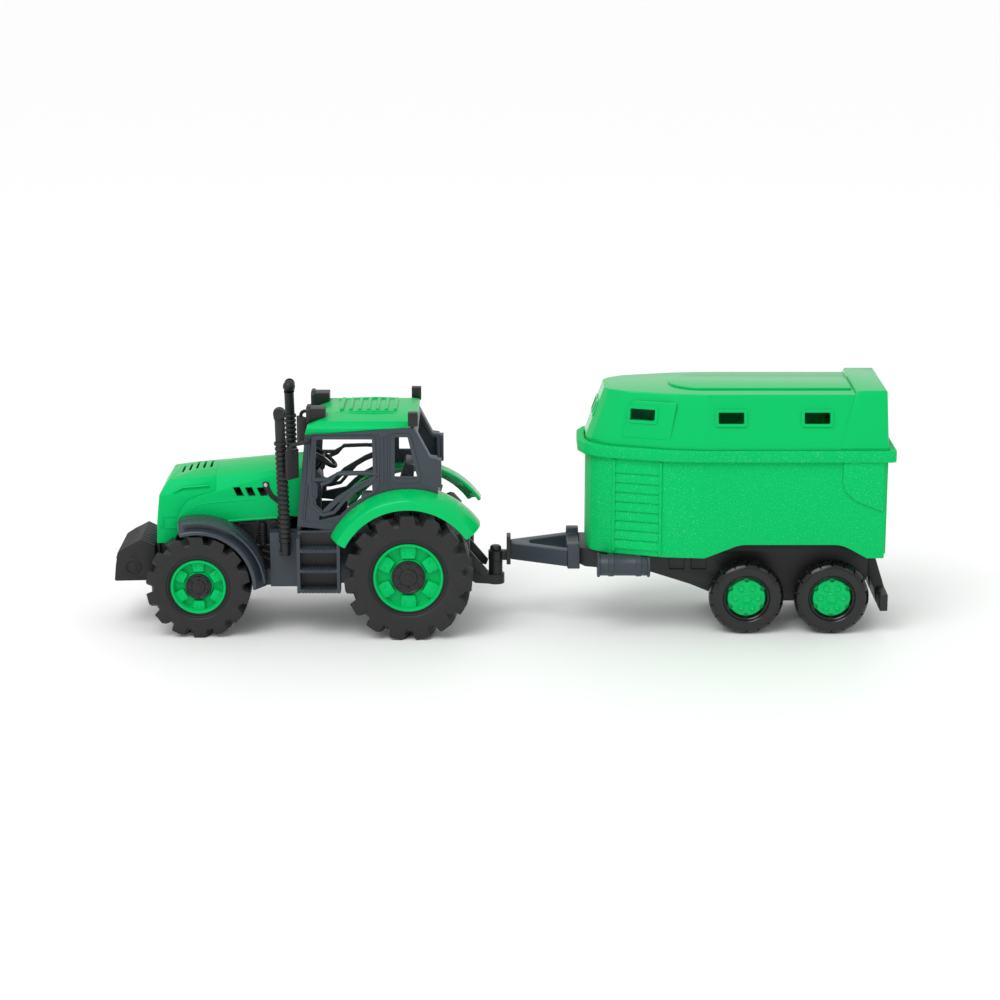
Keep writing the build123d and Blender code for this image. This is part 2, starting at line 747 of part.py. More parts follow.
with BuildPart() as tail_lamps:
    for side in (-1, 1):
        block(
            (CAB_REAR_X - 1.5, CAB_REAR_X + 2.4),
            (side * 35, side * CAB_HALF_WIDTH),
            (110, 129.5),
        )
    add([rear_frame.part, pieces["cab_side_left"], pieces["cab_side_right"]], mode=Mode.SUBTRACT)
pieces["tail_lamps"] = tail_lamps.part

# ---- mudguards, steps, exhausts, mirrors ----------------------------------------------------
for side, name in ((-1, "left"), (1, "right")):
    with BuildPart() as rear_fender:
        guard_section(
            [
                (fender_top, side * web_inner),
                (fender_top, side * (CAB_HALF_WIDTH + 1)),
                (fender_top - 1.8, side * (CAB_HALF_WIDTH + 6)),
                (rear_arch + 8, side * (REAR_TRACK - 2)),
                (rear_arch + 3.4, side * REAR_TRACK),
                (rear_arch + 1.2, side * REAR_TRACK),
                (rear_arch + 5.4, side * (REAR_TRACK - 3)),
                (fender_top - SHELL, side * CAB_HALF_WIDTH),
                (fender_top - SHELL, side * web_inner),
            ],
            REAR_AXLE_X,
            REAR_WHEEL_RADIUS,
            fender_rear_angle,
            fender_front_angle,
        )
    pieces[f"rear_fender_{name}"] = rear_fender.part

    with BuildPart() as front_fender:
        guard_section(
            [
                (front_arch + 8.2, side * BONNET_HALF_WIDTH),
                (front_arch + 8.2, side * (FRONT_TRACK - 11)),
                (front_arch + 1.2, side * (FRONT_TRACK + 1)),
                (front_arch - 1.4, side * (FRONT_TRACK + 1)),
                (front_arch + 5.6, side * (FRONT_TRACK - 11.5)),
                (front_arch + 5.6, side * BONNET_HALF_WIDTH),
            ],
            FRONT_AXLE_X,
            FRONT_WHEEL_RADIUS,
            -2,
            108,
        )
    pieces[f"front_fender_{name}"] = front_fender.part

    step_front_x = CAB_FRONT_X
    step_rear_x = CAB_FRONT_X + 31
    step_bottom_z = 34
    step_top_z = 77.6
    tread_pitch = 14.9
    wall_y = side * side_inner
    edge_y = side * (CAB_HALF_WIDTH + 10)
    with BuildPart() as step:
        block((step_front_x, step_rear_x), (wall_y, side * CAB_HALF_WIDTH), (step_bottom_z, step_top_z))
        for x in (step_front_x, step_rear_x - SHELL):
            block((x, x + SHELL), (side * CAB_HALF_WIDTH, edge_y), (step_bottom_z, step_top_z - 3))
        for tread in range(3):
            tread_z = step_bottom_z + 0.3 + tread * tread_pitch
            block((step_front_x, step_rear_x), (side * CAB_HALF_WIDTH, edge_y), (tread_z, tread_z + SHELL))
        block(
            (step_front_x - 20, step_front_x),
            (side * BONNET_HALF_WIDTH, side * (CAB_HALF_WIDTH - 4.5)),
            (35, 75),
        )
        block(
            (step_front_x, step_front_x + SHELL),
            (side * BONNET_HALF_WIDTH, side * CAB_HALF_WIDTH),
            (35, FLOOR_Z),
        )
        add([rear_fender.part, pieces[f"cab_side_{name}"]], mode=Mode.SUBTRACT)
    pieces[f"step_{name}"] = step.part.solids().sort_by(SortBy.VOLUME)[-1]

    foot = Vector(CAB_FRONT_X - 8.5, side * (CAB_HALF_WIDTH + 1), 60)
    top = Vector(CAB_FRONT_X - 10.9, side * (CAB_HALF_WIDTH + 1), 160)
    pipe_direction = (top - foot).normalized()
    pipe_plane = Plane(origin=foot, x_dir=(0, side, 0), z_dir=pipe_direction)
    section_plane = Plane(
        origin=foot, x_dir=(0, 1, 0), z_dir=Vector(0, 1, 0).cross(pipe_direction)
    )
    ring_pitch = 3.55
    with BuildPart() as exhaust:
        profile = [(0, 0), (3.6, 0), (3.6, 9)]
        for ring in range(20):
            profile += [
                (3.4, 9.4 + ring * ring_pitch),
                (4.3, 10.2 + ring * ring_pitch),
                (4.3, 11.8 + ring * ring_pitch),
                (3.4, 12.6 + ring * ring_pitch),
            ]
        profile += [(3.6, 81), (3.6, 100), (0, 100)]
        with BuildSketch(section_plane) as ribbed:
            with BuildLine():
                Polyline(*profile, close=True)
            make_face()
        revolve(ribbed.sketch, axis=Axis(foot, pipe_direction))
        with BuildLine(Plane(origin=top, x_dir=(0, side, 0), z_dir=(side, 0, 0))) as bend:
            RadiusArc((0, 0), (5, 5), -5)
            Line((5, 5), (7.5, 5))
        with BuildSketch(pipe_plane.offset((top - foot).length)) as mouth:
            Circle(3.9)
        sweep(mouth.sketch, path=bend.wires()[0])
        block(
            (CAB_FRONT_X - 13, CAB_FRONT_X - 6),
            (side * inner_half, side * (CAB_HALF_WIDTH + 3.5)),
            (60, 63),
        )
        add(step.part, mode=Mode.SUBTRACT)
    pieces[f"exhaust_{name}"] = exhaust.part.solids().sort_by(SortBy.VOLUME)[-1]

    arm_start = (cab_front_x(143) + 4, side * CAB_HALF_WIDTH, 143)
    with BuildPart() as mirror:
        with BuildLine() as arm:
            FilletPolyline(
                arm_start,
                (cab_front_x(143) + 3, side * (CAB_HALF_WIDTH + 9), 145),
                (CAB_FRONT_X - 3, side * (CAB_HALF_WIDTH + 10.5), 143),
                (CAB_FRONT_X - 3.4, side * (CAB_HALF_WIDTH + 10.5), 122),
                radius=3,
            )
        with BuildSketch(Plane(origin=arm_start, z_dir=arm.wires()[0] % 0)) as arm_section:
            Circle(1.3)
        sweep(arm_section.sketch, path=arm.wires()[0])
        glass_plane = Plane(
            origin=(CAB_FRONT_X - 2, side * (CAB_HALF_WIDTH + 9), 129),
            x_dir=(cos(radians(50)), side * -sin(radians(50)), 0),
            z_dir=(0, 0, 1),
        )
        with Locations(glass_plane):
            Box(11, 2.6, 21)
        add(exhaust.part, mode=Mode.SUBTRACT)
    pieces[f"mirror_{name}"] = mirror.part.solids().sort_by(SortBy.VOLUME)[-1]

# ---- hitch ----------------------------------------------------------------------------------
spine_rear_x = CAB_REAR_X + 22
with BuildPart() as drawbar:
    plate(
        [
            (spine_rear_x, 40),
            (spine_rear_x + 5, 38),
            (HITCH_X - 5, 34),
            (HITCH_X + 2, 34),
            (HITCH_X + 2, 27),
            (spine_rear_x + 4, 28),
            (spine_rear_x, 31),
        ],
        -6.5,
        6.5,
    )
    with BuildSketch(Plane.XY.offset(26.8)):
        with Locations((HITCH_X, 0)):
            Circle(6.5)
    extrude(amount=7.2)
    with BuildSketch(Plane.XY.offset(26.8)):
        with Locations((HITCH_X, 0)):
            Circle(HITCH_PIN_RADIUS + 2.6)
    extrude(amount=HITCH_DECK_Z - 26.8)
    with BuildSketch(Plane.XY.offset(30)):
        with Locations((HITCH_X, 0)):
            Circle(HITCH_PIN_RADIUS)
    extrude(amount=HITCH_DECK_Z - 30, mode=Mode.SUBTRACT)
pieces["hitch_drawbar"] = drawbar.part

eye_bottom_z = HITCH_DECK_Z + JOINT_GAP
eye_top_z = eye_bottom_z + COUPLING_HEIGHT
with BuildPart() as pin:
    with BuildSketch(Plane.XY.offset(30)):
        with Locations((HITCH_X, 0)):
            Circle(HITCH_PIN_RADIUS)
    extrude(amount=eye_top_z + JOINT_GAP - 30)
    with BuildSketch(Plane.XY.offset(eye_top_z + JOINT_GAP)):
        with Locations((HITCH_X, 0)):
            Circle(HITCH_PIN_RADIUS + 1.7)
    extrude(amount=3.6)
    fillet(pin.edges().filter_by(GeomType.CIRCLE).group_by(Axis.Z)[-1], 2.2)
pieces["hitch_pin"] = pin.part

with BuildPart() as lift_arms:
    for side in (-1, 1):
        plate(
            [
                (spine_rear_x - 10, 50),
                (spine_rear_x - 10, 58),
                (spine_rear_x, 56),
                (spine_rear_x + 13.5, 40),
                (spine_rear_x + 12, 36),
                (spine_rear_x + 8, 37),
                (spine_rear_x - 2, 48),
            ],
            side * SPINE_HALF_WIDTH,
            side * (SPINE_HALF_WIDTH + 3.5),
        )
pieces["lift_arms"] = lift_arms.part


def screw_group(spots, top_z):
    """Pan-head screws with their heads down, at the given (x, y) spots."""
    with BuildPart() as screws:
        with Locations(*[(x, y, top_z) for x, y in spots]):
            Cylinder(2.8, 1.6, align=(Align.CENTER, Align.CENTER, Align.MAX))
        with Locations(*[(x, y, top_z - 1.6) for x, y in spots]):
            Box(3.2, 0.7, 1.2, mode=Mode.SUBTRACT)
            Box(0.7, 3.2, 1.2, mode=Mode.SUBTRACT)
    return screws.part


pieces["chassis_screws"] = screw_group(
    [(FRONT_AXLE_X + dx, dy) for dx in (-10, 16) for dy in (-9, 9)], SPINE_BOTTOM_Z
)

# ---- trailer: drawbar frame, coupling, chassis ----------------------------------------------
flange_x = HITCH_X + 8
with BuildPart() as coupling:
    with BuildSketch(Plane.XY.offset(eye_bottom_z)):
        with Locations((HITCH_X, 0)):
            Circle(HITCH_PIN_RADIUS + 2.9)
        with Locations((HITCH_X + 4.5, 0)):
            Rectangle(9, 5.4)
        with Locations((HITCH_X, 0)):
            Circle(HITCH_PIN_RADIUS + RUNNING_GAP, mode=Mode.SUBTRACT)
    extrude(amount=COUPLING_HEIGHT)
    block((flange_x, flange_x + 3), (-6.5, 6.5), (42, 62.7))
pieces["coupling_head"] = coupling.part

frame_front_x = flange_x + 3
crossbar_rear_x = TRAILER_FRONT_X - 4.3
crossbar_x = crossbar_rear_x - 9
with BuildPart() as drawbar_frame:
    with BuildSketch(Plane.XY.offset(46)):
        with BuildLine():
            Polyline(
                (frame_front_x, -6.5),
                (frame_front_x, 6.5),
                (crossbar_x, 26.5),
                (crossbar_rear_x, 26.5),
                (crossbar_rear_x, -26.5),
                (crossbar_x, -26.5),
                close=True,
            )
        make_face()
        with BuildLine():
            Polyline(
                (frame_front_x + 14, -4),
                (frame_front_x + 14, 4),
                (crossbar_x, 18),
                (crossbar_x, -18),
                close=True,
            )
        make_face(mode=Mode.SUBTRACT)
    extrude(amount=12)
    for side in (-1, 1):
        block((crossbar_x, crossbar_rear_x), (side * 19.5, side * 27), (44.5, 63))
pieces["drawbar_frame"] = drawbar_frame.part

arch_front_x = TRAILER_AXLE_XS[0] - 25.9
arch_rear_x = TRAILER_AXLE_XS[1] + 23.6
arch_top = TRAILER_FLOOR_Z + WHEEL_ARCH_RISE
chassis_rear_x = TRAILER_REAR_X - 7.2
with BuildPart() as trailer_chassis:
    plate(
        [
            (crossbar_rear_x, TRAILER_FLOOR_Z),
            (arch_front_x, TRAILER_FLOOR_Z),
            (arch_front_x + 25, arch_top),
            (arch_rear_x - 21, arch_top),
            (arch_rear_x, TRAILER_FLOOR_Z),
            (chassis_rear_x, TRAILER_FLOOR_Z),
            (chassis_rear_x, 38),
            (chassis_rear_x - 7.5, 22),
            (TRAILER_AXLE_XS[1] + 12.6, 19),
            (TRAILER_AXLE_XS[0] - 12.9, 19),
            (arch_front_x, 26),
            (arch_front_x - 14, 31.8),
            (arch_front_x - 42, 40.8),
            (crossbar_rear_x + 4, 45),
            (crossbar_rear_x, 47),
        ],
        -TRAILER_CHASSIS_HALF_WIDTH,
        TRAILER_CHASSIS_HALF_WIDTH,
    )
    plate(
        [
            (crossbar_rear_x + SHELL, TRAILER_FLOOR_Z - SHELL),
            (arch_front_x + 1, TRAILER_FLOOR_Z - SHELL),
            (arch_front_x + 26, arch_top - SHELL),
            (arch_rear_x - 22, arch_top - SHELL),
            (arch_rear_x - 1, TRAILER_FLOOR_Z - SHELL),
            (chassis_rear_x - SHELL, TRAILER_FLOOR_Z - SHELL),
            (chassis_rear_x - SHELL, 10),
            (crossbar_rear_x + SHELL, 10),
        ],
        -TRAILER_CHASSIS_HALF_WIDTH + SHELL,
        TRAILER_CHASSIS_HALF_WIDTH - SHELL,
        Mode.SUBTRACT,
    )
    reach = TRAILER_TRACK - TRAILER_TYRE_WIDTH - 1
    for axle_x in TRAILER_AXLE_XS:
        cross_rod(axle_x, TRAILER_WHEEL_RADIUS, 5, -reach, reach)
        cross_rod(
            axle_x, TRAILER_WHEEL_RADIUS, AXLE_RADIUS + RUNNING_GAP, -reach, reach, Mode.SUBTRACT
        )
    for recess_x in (arch_front_x - 29, arch_front_x - 13):
        for side in (-1, 1):
            block(
                (recess_x, recess_x + 11),
                (side * (TRAILER_CHASSIS_HALF_WIDTH - 1), side * TRAILER_CHASSIS_HALF_WIDTH),
                (43, 54),
                Mode.SUBTRACT,
            )
pieces["trailer_chassis"] = trailer_chassis.part

with BuildPart() as bumper:
    for side in (-1, 1):
        plate(
            [
                (chassis_rear_x, 55),
                (chassis_rear_x + 4.5, 54),
                (chassis_rear_x + 12.1, 30),
                (chassis_rear_x + 12.1, 17.7),
                (chassis_rear_x + 6.5, 17.7),
                (chassis_rear_x + 5, 28),
                (chassis_rear_x, 40),
            ],
            side * 14,
            side * TRAILER_CHASSIS_HALF_WIDTH,
        )
    block((chassis_rear_x + 6.5, chassis_rear_x + 12.1), (-44, 44), (17.7, 30))
pieces["rear_bumper"] = bumper.part

tank_radius = 7.7
tank_y = 39.5
tank_z = TRAILER_FLOOR_Z - tank_radius - 0.2
for side, name in ((-1, "left"), (1, "right")):
    with BuildPart() as tank:
        with BuildSketch(Plane.YZ.offset(TRAILER_FRONT_X + 7.7)) as tank_section:
            with Locations((side * tank_y, tank_z)):
                Circle(tank_radius)
        extrude(tank_section.sketch, amount=38)
        for strap_x in (TRAILER_FRONT_X + 15.7, TRAILER_FRONT_X + 35.7):
            block(
                (strap_x, strap_x + 4),
                (side * TRAILER_CHASSIS_HALF_WIDTH, side * tank_y),
                (TRAILER_FLOOR_Z - 5, TRAILER_FLOOR_Z),
            )
            with BuildSketch(Plane.YZ.offset(strap_x)) as strap:
                with Locations((side * tank_y, tank_z)):
                    Circle(tank_radius + 0.2)
            extrude(strap.sketch, amount=4)
    pieces[f"side_tank_{name}"] = tank.part


# ---- trailer body, lid and ramp -------------------------------------------------------------
def plan_face(half_outline, height, grow=0.0):
    """A level face, symmetric about the centre line, from its half outline."""
    mirrored = [(x, -y) for x, y in reversed(half_outline)]
    with BuildSketch(Plane.XY.offset(height)) as face:
        with BuildLine():
            Polyline(*half_outline, *mirrored, close=True)
        make_face()
        if grow:
            offset(amount=grow, kind=Kind.INTERSECTION)
    return face.sketch


body_plan = [
    (TRAILER_FRONT_X, 14),
    (TRAILER_FRONT_X + 3, 25),
    (TRAILER_FRONT_X + 8.7, 30.5),
    (TRAILER_FRONT_X + 16.4, 35.9),
    (TRAILER_FRONT_X + 56, 47.8),
    (TRAILER_FRONT_X + 80.7, TRAILER_HALF_WIDTH),
    (TRAILER_REAR_X, TRAILER_HALF_WIDTH),
]
band_plan = [
    (TRAILER_FRONT_X - 6.3, 15),
    (TRAILER_FRONT_X - 2, 26.5),
    (TRAILER_FRONT_X + 5, 33),
    (TRAILER_FRONT_X + 15, 38.9),
    (TRAILER_FRONT_X + 55, 50.8),
    (TRAILER_FRONT_X + 80, TRAILER_HALF_WIDTH + RIM_PROUD),
    (TRAILER_REAR_X + 6.7, TRAILER_HALF_WIDTH + RIM_PROUD),
]
lid_plan = [
    (TRAILER_FRONT_X - 0.4, 12),
    (TRAILER_FRONT_X + 3.3, 22.5),
    (TRAILER_FRONT_X + 9.5, 28.5),
    (TRAILER_FRONT_X + 17.2, 34.2),
    (TRAILER_FRONT_X + 56.7, 47.3),
    (TRAILER_FRONT_X + 82, TRAILER_HALF_WIDTH + 0.4),
    (TRAILER_REAR_X + 0.8, TRAILER_HALF_WIDTH + 0.4),
]
lid_top_plan = [
    (TRAILER_FRONT_X + 12.7, 14),
    (TRAILER_FRONT_X + 16, 20),
    (TRAILER_FRONT_X + 21.7, 24.5),
    (TRAILER_FRONT_X + 28, 28.5),
    (TRAILER_FRONT_X + 64, 37.5),
    (TRAILER_FRONT_X + 85, LID_TOP_HALF_WIDTH),
    (TRAILER_REAR_X - 0.7, LID_TOP_HALF_WIDTH),
]
seat_z = TRAILER_RIM_Z - 4.5  # ledge that the lid comes down to
wheel_arch = [
    (arch_front_x, TRAILER_FLOOR_Z),
    (arch_front_x + 25, arch_top),
    (arch_rear_x - 21, arch_top),
    (arch_rear_x, TRAILER_FLOOR_Z),
]
with BuildPart() as load_space:
    extrude(plan_face(body_plan, TRAILER_FLOOR_Z + SHELL, -SHELL), amount=seat_z - TRAILER_FLOOR_Z)
    plate(
        [(x, z + SHELL if z > TRAILER_FLOOR_Z else z) for x, z in wheel_arch],
        -TRAILER_HALF_WIDTH,
        TRAILER_HALF_WIDTH,
        Mode.SUBTRACT,
    )

door_hinge_x = TRAILER_REAR_X - SHELL / 2
door_hinge_z = TRAILER_FLOOR_Z + SHELL + 2.1
door_half_thickness = SHELL / 2
pin_radius = 0.7
with BuildPart() as trailer_box:
    extrude(plan_face(body_plan, TRAILER_FLOOR_Z), amount=seat_z - TRAILER_FLOOR_Z)
    extrude(plan_face(band_plan, TRAILER_RIM_Z - RIM_BAND), amount=RIM_BAND)
    extrude(plan_face(lid_plan, seat_z, JOINT_GAP + 0.1), amount=TRAILER_RIM_Z, mode=Mode.SUBTRACT)
    plate(wheel_arch, -TRAILER_HALF_WIDTH - 1, TRAILER_HALF_WIDTH + 1, Mode.SUBTRACT)
    add(load_space.part, mode=Mode.SUBTRACT)
    block(
        (TRAILER_REAR_X - SHELL - 1, TRAILER_REAR_X + 1),
        (-DOOR_HALF_WIDTH, DOOR_HALF_WIDTH),
        (TRAILER_FLOOR_Z + SHELL, TRAILER_FLOOR_Z + SHELL + DOOR_HEIGHT + 1),
        Mode.SUBTRACT,
    )
    cross_rod(
        door_hinge_x,
        door_hinge_z,
        pin_radius + RUNNING_GAP,
        -DOOR_HALF_WIDTH - 2.4,
        DOOR_HALF_WIDTH + 2.4,
        Mode.SUBTRACT,
    )
    for side in (-1, 1):
        for slat in range(7):
            z = TRAILER_FLOOR_Z + 11 + slat * 7.4
            with Locations(
                Plane(
                    origin=(TRAILER_FRONT_X + 36.2, side * 41.85, z),
                    x_dir=(39.6, side * 11.9, 0),
                    z_dir=(0, 0, 1),
                )
            ):
                Box(34, 1.0, 1.2, mode=Mode.SUBTRACT)
pieces["trailer_box"] = trailer_box.part

with BuildPart() as ramp:
    door_edge = DOOR_HALF_WIDTH - JOINT_GAP
    block(
        (TRAILER_REAR_X - SHELL, TRAILER_REAR_X),
        (-door_edge, door_edge),
        (door_hinge_z, TRAILER_FLOOR_Z + SHELL + DOOR_HEIGHT),
    )
    cross_rod(door_hinge_x, door_hinge_z, door_half_thickness, -door_edge, door_edge)
    cross_rod(
        door_hinge_x, door_hinge_z, pin_radius, -DOOR_HALF_WIDTH - 2.0, DOOR_HALF_WIDTH + 2.0
    )
    for slat in range(7):
        z = door_hinge_z + 7 + slat * 8
        block((TRAILER_REAR_X - 0.8, TRAILER_REAR_X), (-34, 34), (z, z + 1.6), Mode.SUBTRACT)
pieces["rear_ramp"] = ramp.part

lid_bottom_z = seat_z + JOINT_GAP
lid_facet_z = TRAILER_RIM_Z + 2.5
lid_top_z = TRAILER_RIM_Z + LID_HEIGHT
panel_half_width = 24.5  # raised strip along the lid's roof, round at its front end
panel_front_x = TRAILER_FRONT_X + 59
panel_rear_x = TRAILER_REAR_X - 24
with BuildPart() as lid:
    extrude(plan_face(lid_plan, lid_bottom_z), amount=lid_facet_z - lid_bottom_z)
    loft([plan_face(lid_plan, lid_facet_z), plan_face(lid_top_plan, lid_top_z)], ruled=True)
    rear_foot = [(TRAILER_REAR_X - 26, 51.2), (TRAILER_REAR_X + 0.8, 51.2)]
    rear_head = [(TRAILER_REAR_X - 22, 40.8), (TRAILER_REAR_X, 40.8)]
    loft([plan_face(rear_foot, lid_facet_z), plan_face(rear_head, lid_top_z + 3)], ruled=True)
    with BuildSketch(Plane.XY.offset(lid_top_z)) as panel:
        with Locations((panel_front_x + panel_half_width, 0)):
            Circle(panel_half_width)
        with Locations(((panel_front_x + panel_half_width + panel_rear_x) / 2, 0)):
            Rectangle(panel_rear_x - panel_front_x - panel_half_width, 2 * panel_half_width)
    extrude(panel.sketch, amount=1.6)
    extrude(
        plan_face(lid_plan, lid_bottom_z, -SHELL),
        amount=lid_facet_z - lid_bottom_z,
        mode=Mode.SUBTRACT,
    )
    loft(
        [plan_face(lid_plan, lid_facet_z, -SHELL), plan_face(lid_top_plan, lid_top_z - SHELL, -SHELL)],
        ruled=True,
        mode=Mode.SUBTRACT,
    )
    for side in (-1, 1):
        for window_x, window_z in ((30.2, 157), (92.5, 156.4), (153.4, 156.4)):
            x = TRAILER_FRONT_X + window_x
            block((x, x + 18.4), (side * 20, side * 60), (window_z, window_z + 8), Mode.SUBTRACT)
        block(
            (TRAILER_FRONT_X - 5, TRAILER_FRONT_X + 20),
            (side * 3, side * 11.5),
            (156, 164.5),
            Mode.SUBTRACT,
        )
pieces["lid"] = lid.part

# ---- write every piece ----------------------------------------------------------------------
for name, piece in pieces.items():
    piece.label = name
    export_step(piece, f"parts/{name}.step")
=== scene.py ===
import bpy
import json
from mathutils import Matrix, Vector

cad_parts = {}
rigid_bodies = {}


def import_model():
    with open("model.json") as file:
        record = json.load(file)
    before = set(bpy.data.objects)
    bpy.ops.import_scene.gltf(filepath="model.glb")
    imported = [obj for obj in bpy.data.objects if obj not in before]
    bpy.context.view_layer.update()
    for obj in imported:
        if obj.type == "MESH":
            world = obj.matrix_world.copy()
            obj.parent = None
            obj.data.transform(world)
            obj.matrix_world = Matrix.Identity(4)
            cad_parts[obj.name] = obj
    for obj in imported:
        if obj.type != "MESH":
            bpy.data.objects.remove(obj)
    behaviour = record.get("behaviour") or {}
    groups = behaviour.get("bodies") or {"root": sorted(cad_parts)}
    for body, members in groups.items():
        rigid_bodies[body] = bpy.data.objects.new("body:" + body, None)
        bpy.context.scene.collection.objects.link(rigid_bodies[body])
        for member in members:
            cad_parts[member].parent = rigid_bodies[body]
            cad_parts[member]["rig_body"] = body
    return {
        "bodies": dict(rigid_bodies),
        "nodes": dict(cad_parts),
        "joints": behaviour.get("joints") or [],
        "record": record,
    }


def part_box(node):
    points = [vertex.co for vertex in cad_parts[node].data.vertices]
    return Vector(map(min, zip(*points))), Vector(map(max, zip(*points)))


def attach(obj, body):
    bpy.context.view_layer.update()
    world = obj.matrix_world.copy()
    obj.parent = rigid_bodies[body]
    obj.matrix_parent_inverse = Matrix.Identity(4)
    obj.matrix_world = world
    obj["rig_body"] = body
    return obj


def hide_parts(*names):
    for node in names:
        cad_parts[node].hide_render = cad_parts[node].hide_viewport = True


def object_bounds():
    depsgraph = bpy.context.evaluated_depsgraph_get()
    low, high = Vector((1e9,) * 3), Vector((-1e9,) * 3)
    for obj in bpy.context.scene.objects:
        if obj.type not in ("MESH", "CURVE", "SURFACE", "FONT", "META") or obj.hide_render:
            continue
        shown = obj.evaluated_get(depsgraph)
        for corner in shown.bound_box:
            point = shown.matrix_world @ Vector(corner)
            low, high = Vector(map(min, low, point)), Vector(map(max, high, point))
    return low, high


bl_info = {
    "name": "Toy tractor and horse trailer",
    "version": (1, 0, 0),
    "blender": (4, 5, 0),
    "location": "3D View > Sidebar > Toy",
    "description": "Builds the moulded look of a toy tractor and its trailer around the design model",
    "category": "Object",
}

import json
from math import cos, hypot, pi, radians, sin

import bmesh
import bpy
from mathutils import Matrix, Vector

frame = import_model()
cad_low, cad_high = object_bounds()

MM = 0.001
WHITE = (1.0, 1.0, 1.0, 1.0)
SHEEN = (0.15, 0.95, 0.72, 1.0)  # the cool green that the green plastic reflects
SIDES = ((-1, "left"), (1, "right"))
# Where an outline's two numbers and its depth go in space.
PLANES = {
    "XZ": lambda a, b, depth: Vector((a, depth, b)),
    "XY": lambda a, b, depth: Vector((a, b, depth)),
    "YZ": lambda a, b, depth: Vector((depth, a, b)),
}


# ---- sizes and colours a user would change ---------------------------------------------------
class TOY_PG_sizes(bpy.types.PropertyGroup):
    edge_round: bpy.props.FloatProperty(
        name="Edge rounding",
        description="Radius on the edges of moulded pieces",
        default=0.45 * MM,
        unit="LENGTH",
    )
    rear_lugs: bpy.props.IntProperty(
        name="Rear lugs", description="Tread blocks in each row of a rear tyre", default=15
    )
    front_lugs: bpy.props.IntProperty(
        name="Front lugs", description="Tread blocks in each row of a front tyre", default=14
    )
    lug_depth: bpy.props.FloatProperty(
        name="Lug depth",
        description="How far the tread blocks stand out of the rear tyres",
        default=4.6 * MM,
        unit="LENGTH",
    )
    camera_distance: bpy.props.FloatProperty(
        name="Camera distance",
        description="Distance from the camera to the middle of the toy",
        default=2.0,
        unit="LENGTH",
    )


class TOY_PG_colours(bpy.types.PropertyGroup):
    green: bpy.props.FloatVectorProperty(
        name="Green", description="Green plastic", subtype="COLOR", default=(0.0005, 0.50, 0.115)
    )
    slate: bpy.props.FloatVectorProperty(
        name="Slate", description="Dark blue-grey plastic", subtype="COLOR", default=(0.036, 0.047, 0.060)
    )
    black: bpy.props.FloatVectorProperty(
        name="Black", description="Black plastic", subtype="COLOR", default=(0.012, 0.012, 0.013)
    )
    tyre: bpy.props.FloatVectorProperty(
        name="Tyre", description="Tyre plastic", subtype="COLOR", default=(0.014, 0.014, 0.015)
    )
    steel: bpy.props.FloatVectorProperty(
        name="Steel", description="Axles and screws", subtype="COLOR", default=(0.55, 0.55, 0.57)
    )


# ---- shader writing --------------------------------------------------------------------------
class Value:
    """A shader socket; arithmetic on it adds Math nodes."""

    def __init__(self, board, socket):
        self.board = board
        self.socket = socket

    def _math(self, operation, first, second):
        node = self.board.node("ShaderNodeMath", {"operation": operation}, {0: first, 1: second})
        return Value(self.board, node.outputs[0])

    def __add__(self, other):
        return self._math("ADD", self, other)

    __radd__ = __add__

    def __mul__(self, other):
        return self._math("MULTIPLY", self, other)

    __rmul__ = __mul__


class Board:
    """The node tree of one material, with the position on the object ready to use."""

    def __init__(self, name):
        self.material = bpy.data.materials.new(name)
        self.material.use_nodes = True
        self.tree = self.material.node_tree
        self.tree.nodes.clear()
        self.place = self.node("ShaderNodeTexCoord").outputs["Object"]

    def node(self, kind, settings=None, inputs=None):
        node = self.tree.nodes.new(kind)
        for name, value in (settings or {}).items():
            setattr(node, name, value)
        for name, value in (inputs or {}).items():
            socket = node.inputs[name]
            if isinstance(value, Value):
                value = value.socket
            if isinstance(value, bpy.types.NodeSocket):
                self.tree.links.new(value, socket)
            else:
                socket.default_value = value
        return node

    def noise(self, scale, detail=2.0, roughness=0.5):
        """Smooth noise whose features are about 1/scale metres across."""
        node = self.node(
            "ShaderNodeTexNoise",
            inputs={"Vector": self.place, "Scale": scale, "Detail": detail, "Roughness": roughness},
        )
        return Value(self, node.outputs[0])

    def band(self, value, low, high):
        """Maps a value to 0 below low and 1 above high."""
        node = self.node(
            "ShaderNodeMapRange",
            {"interpolation_type": "SMOOTHSTEP", "clamp": True},
            {0: value, 1: low, 2: high, 3: 0.0, 4: 1.0},
        )
        return Value(self, node.outputs[0])

    def mix(self, factor, first, second):
        """Blends two colours."""
        node = self.node(
            "ShaderNodeMix", {"data_type": "RGBA"}, {0: factor, 6: first, 7: second}
        )
        return Value(self, node.outputs[2])

    def bump(self, height, distance):
        node = self.node("ShaderNodeBump", inputs={"Height": height, "Distance": distance})
        return Value(self, node.outputs[0])

    def finish(self, colour, roughness, normal, metallic=0.0, coat=0.0, tint=WHITE):
        shader = self.node(
            "ShaderNodeBsdfPrincipled",
            inputs={
                "Base Color": colour,
                "Roughness": roughness,
                "Normal": normal,
                "Metallic": metallic,
                "Coat Weight": coat,
                "Coat Roughness": 0.08,
                "Specular IOR Level": 0.4,
                "Specular Tint": tint,
            },
        )
        self.node("ShaderNodeOutputMaterial", inputs={"Surface": shader.outputs[0]})
        return self.material


def shade(colour, factor):
    """A darker or lighter tone of a colour, with full alpha."""
    return (*[min(1.0, channel * factor) for channel in colour], 1.0)


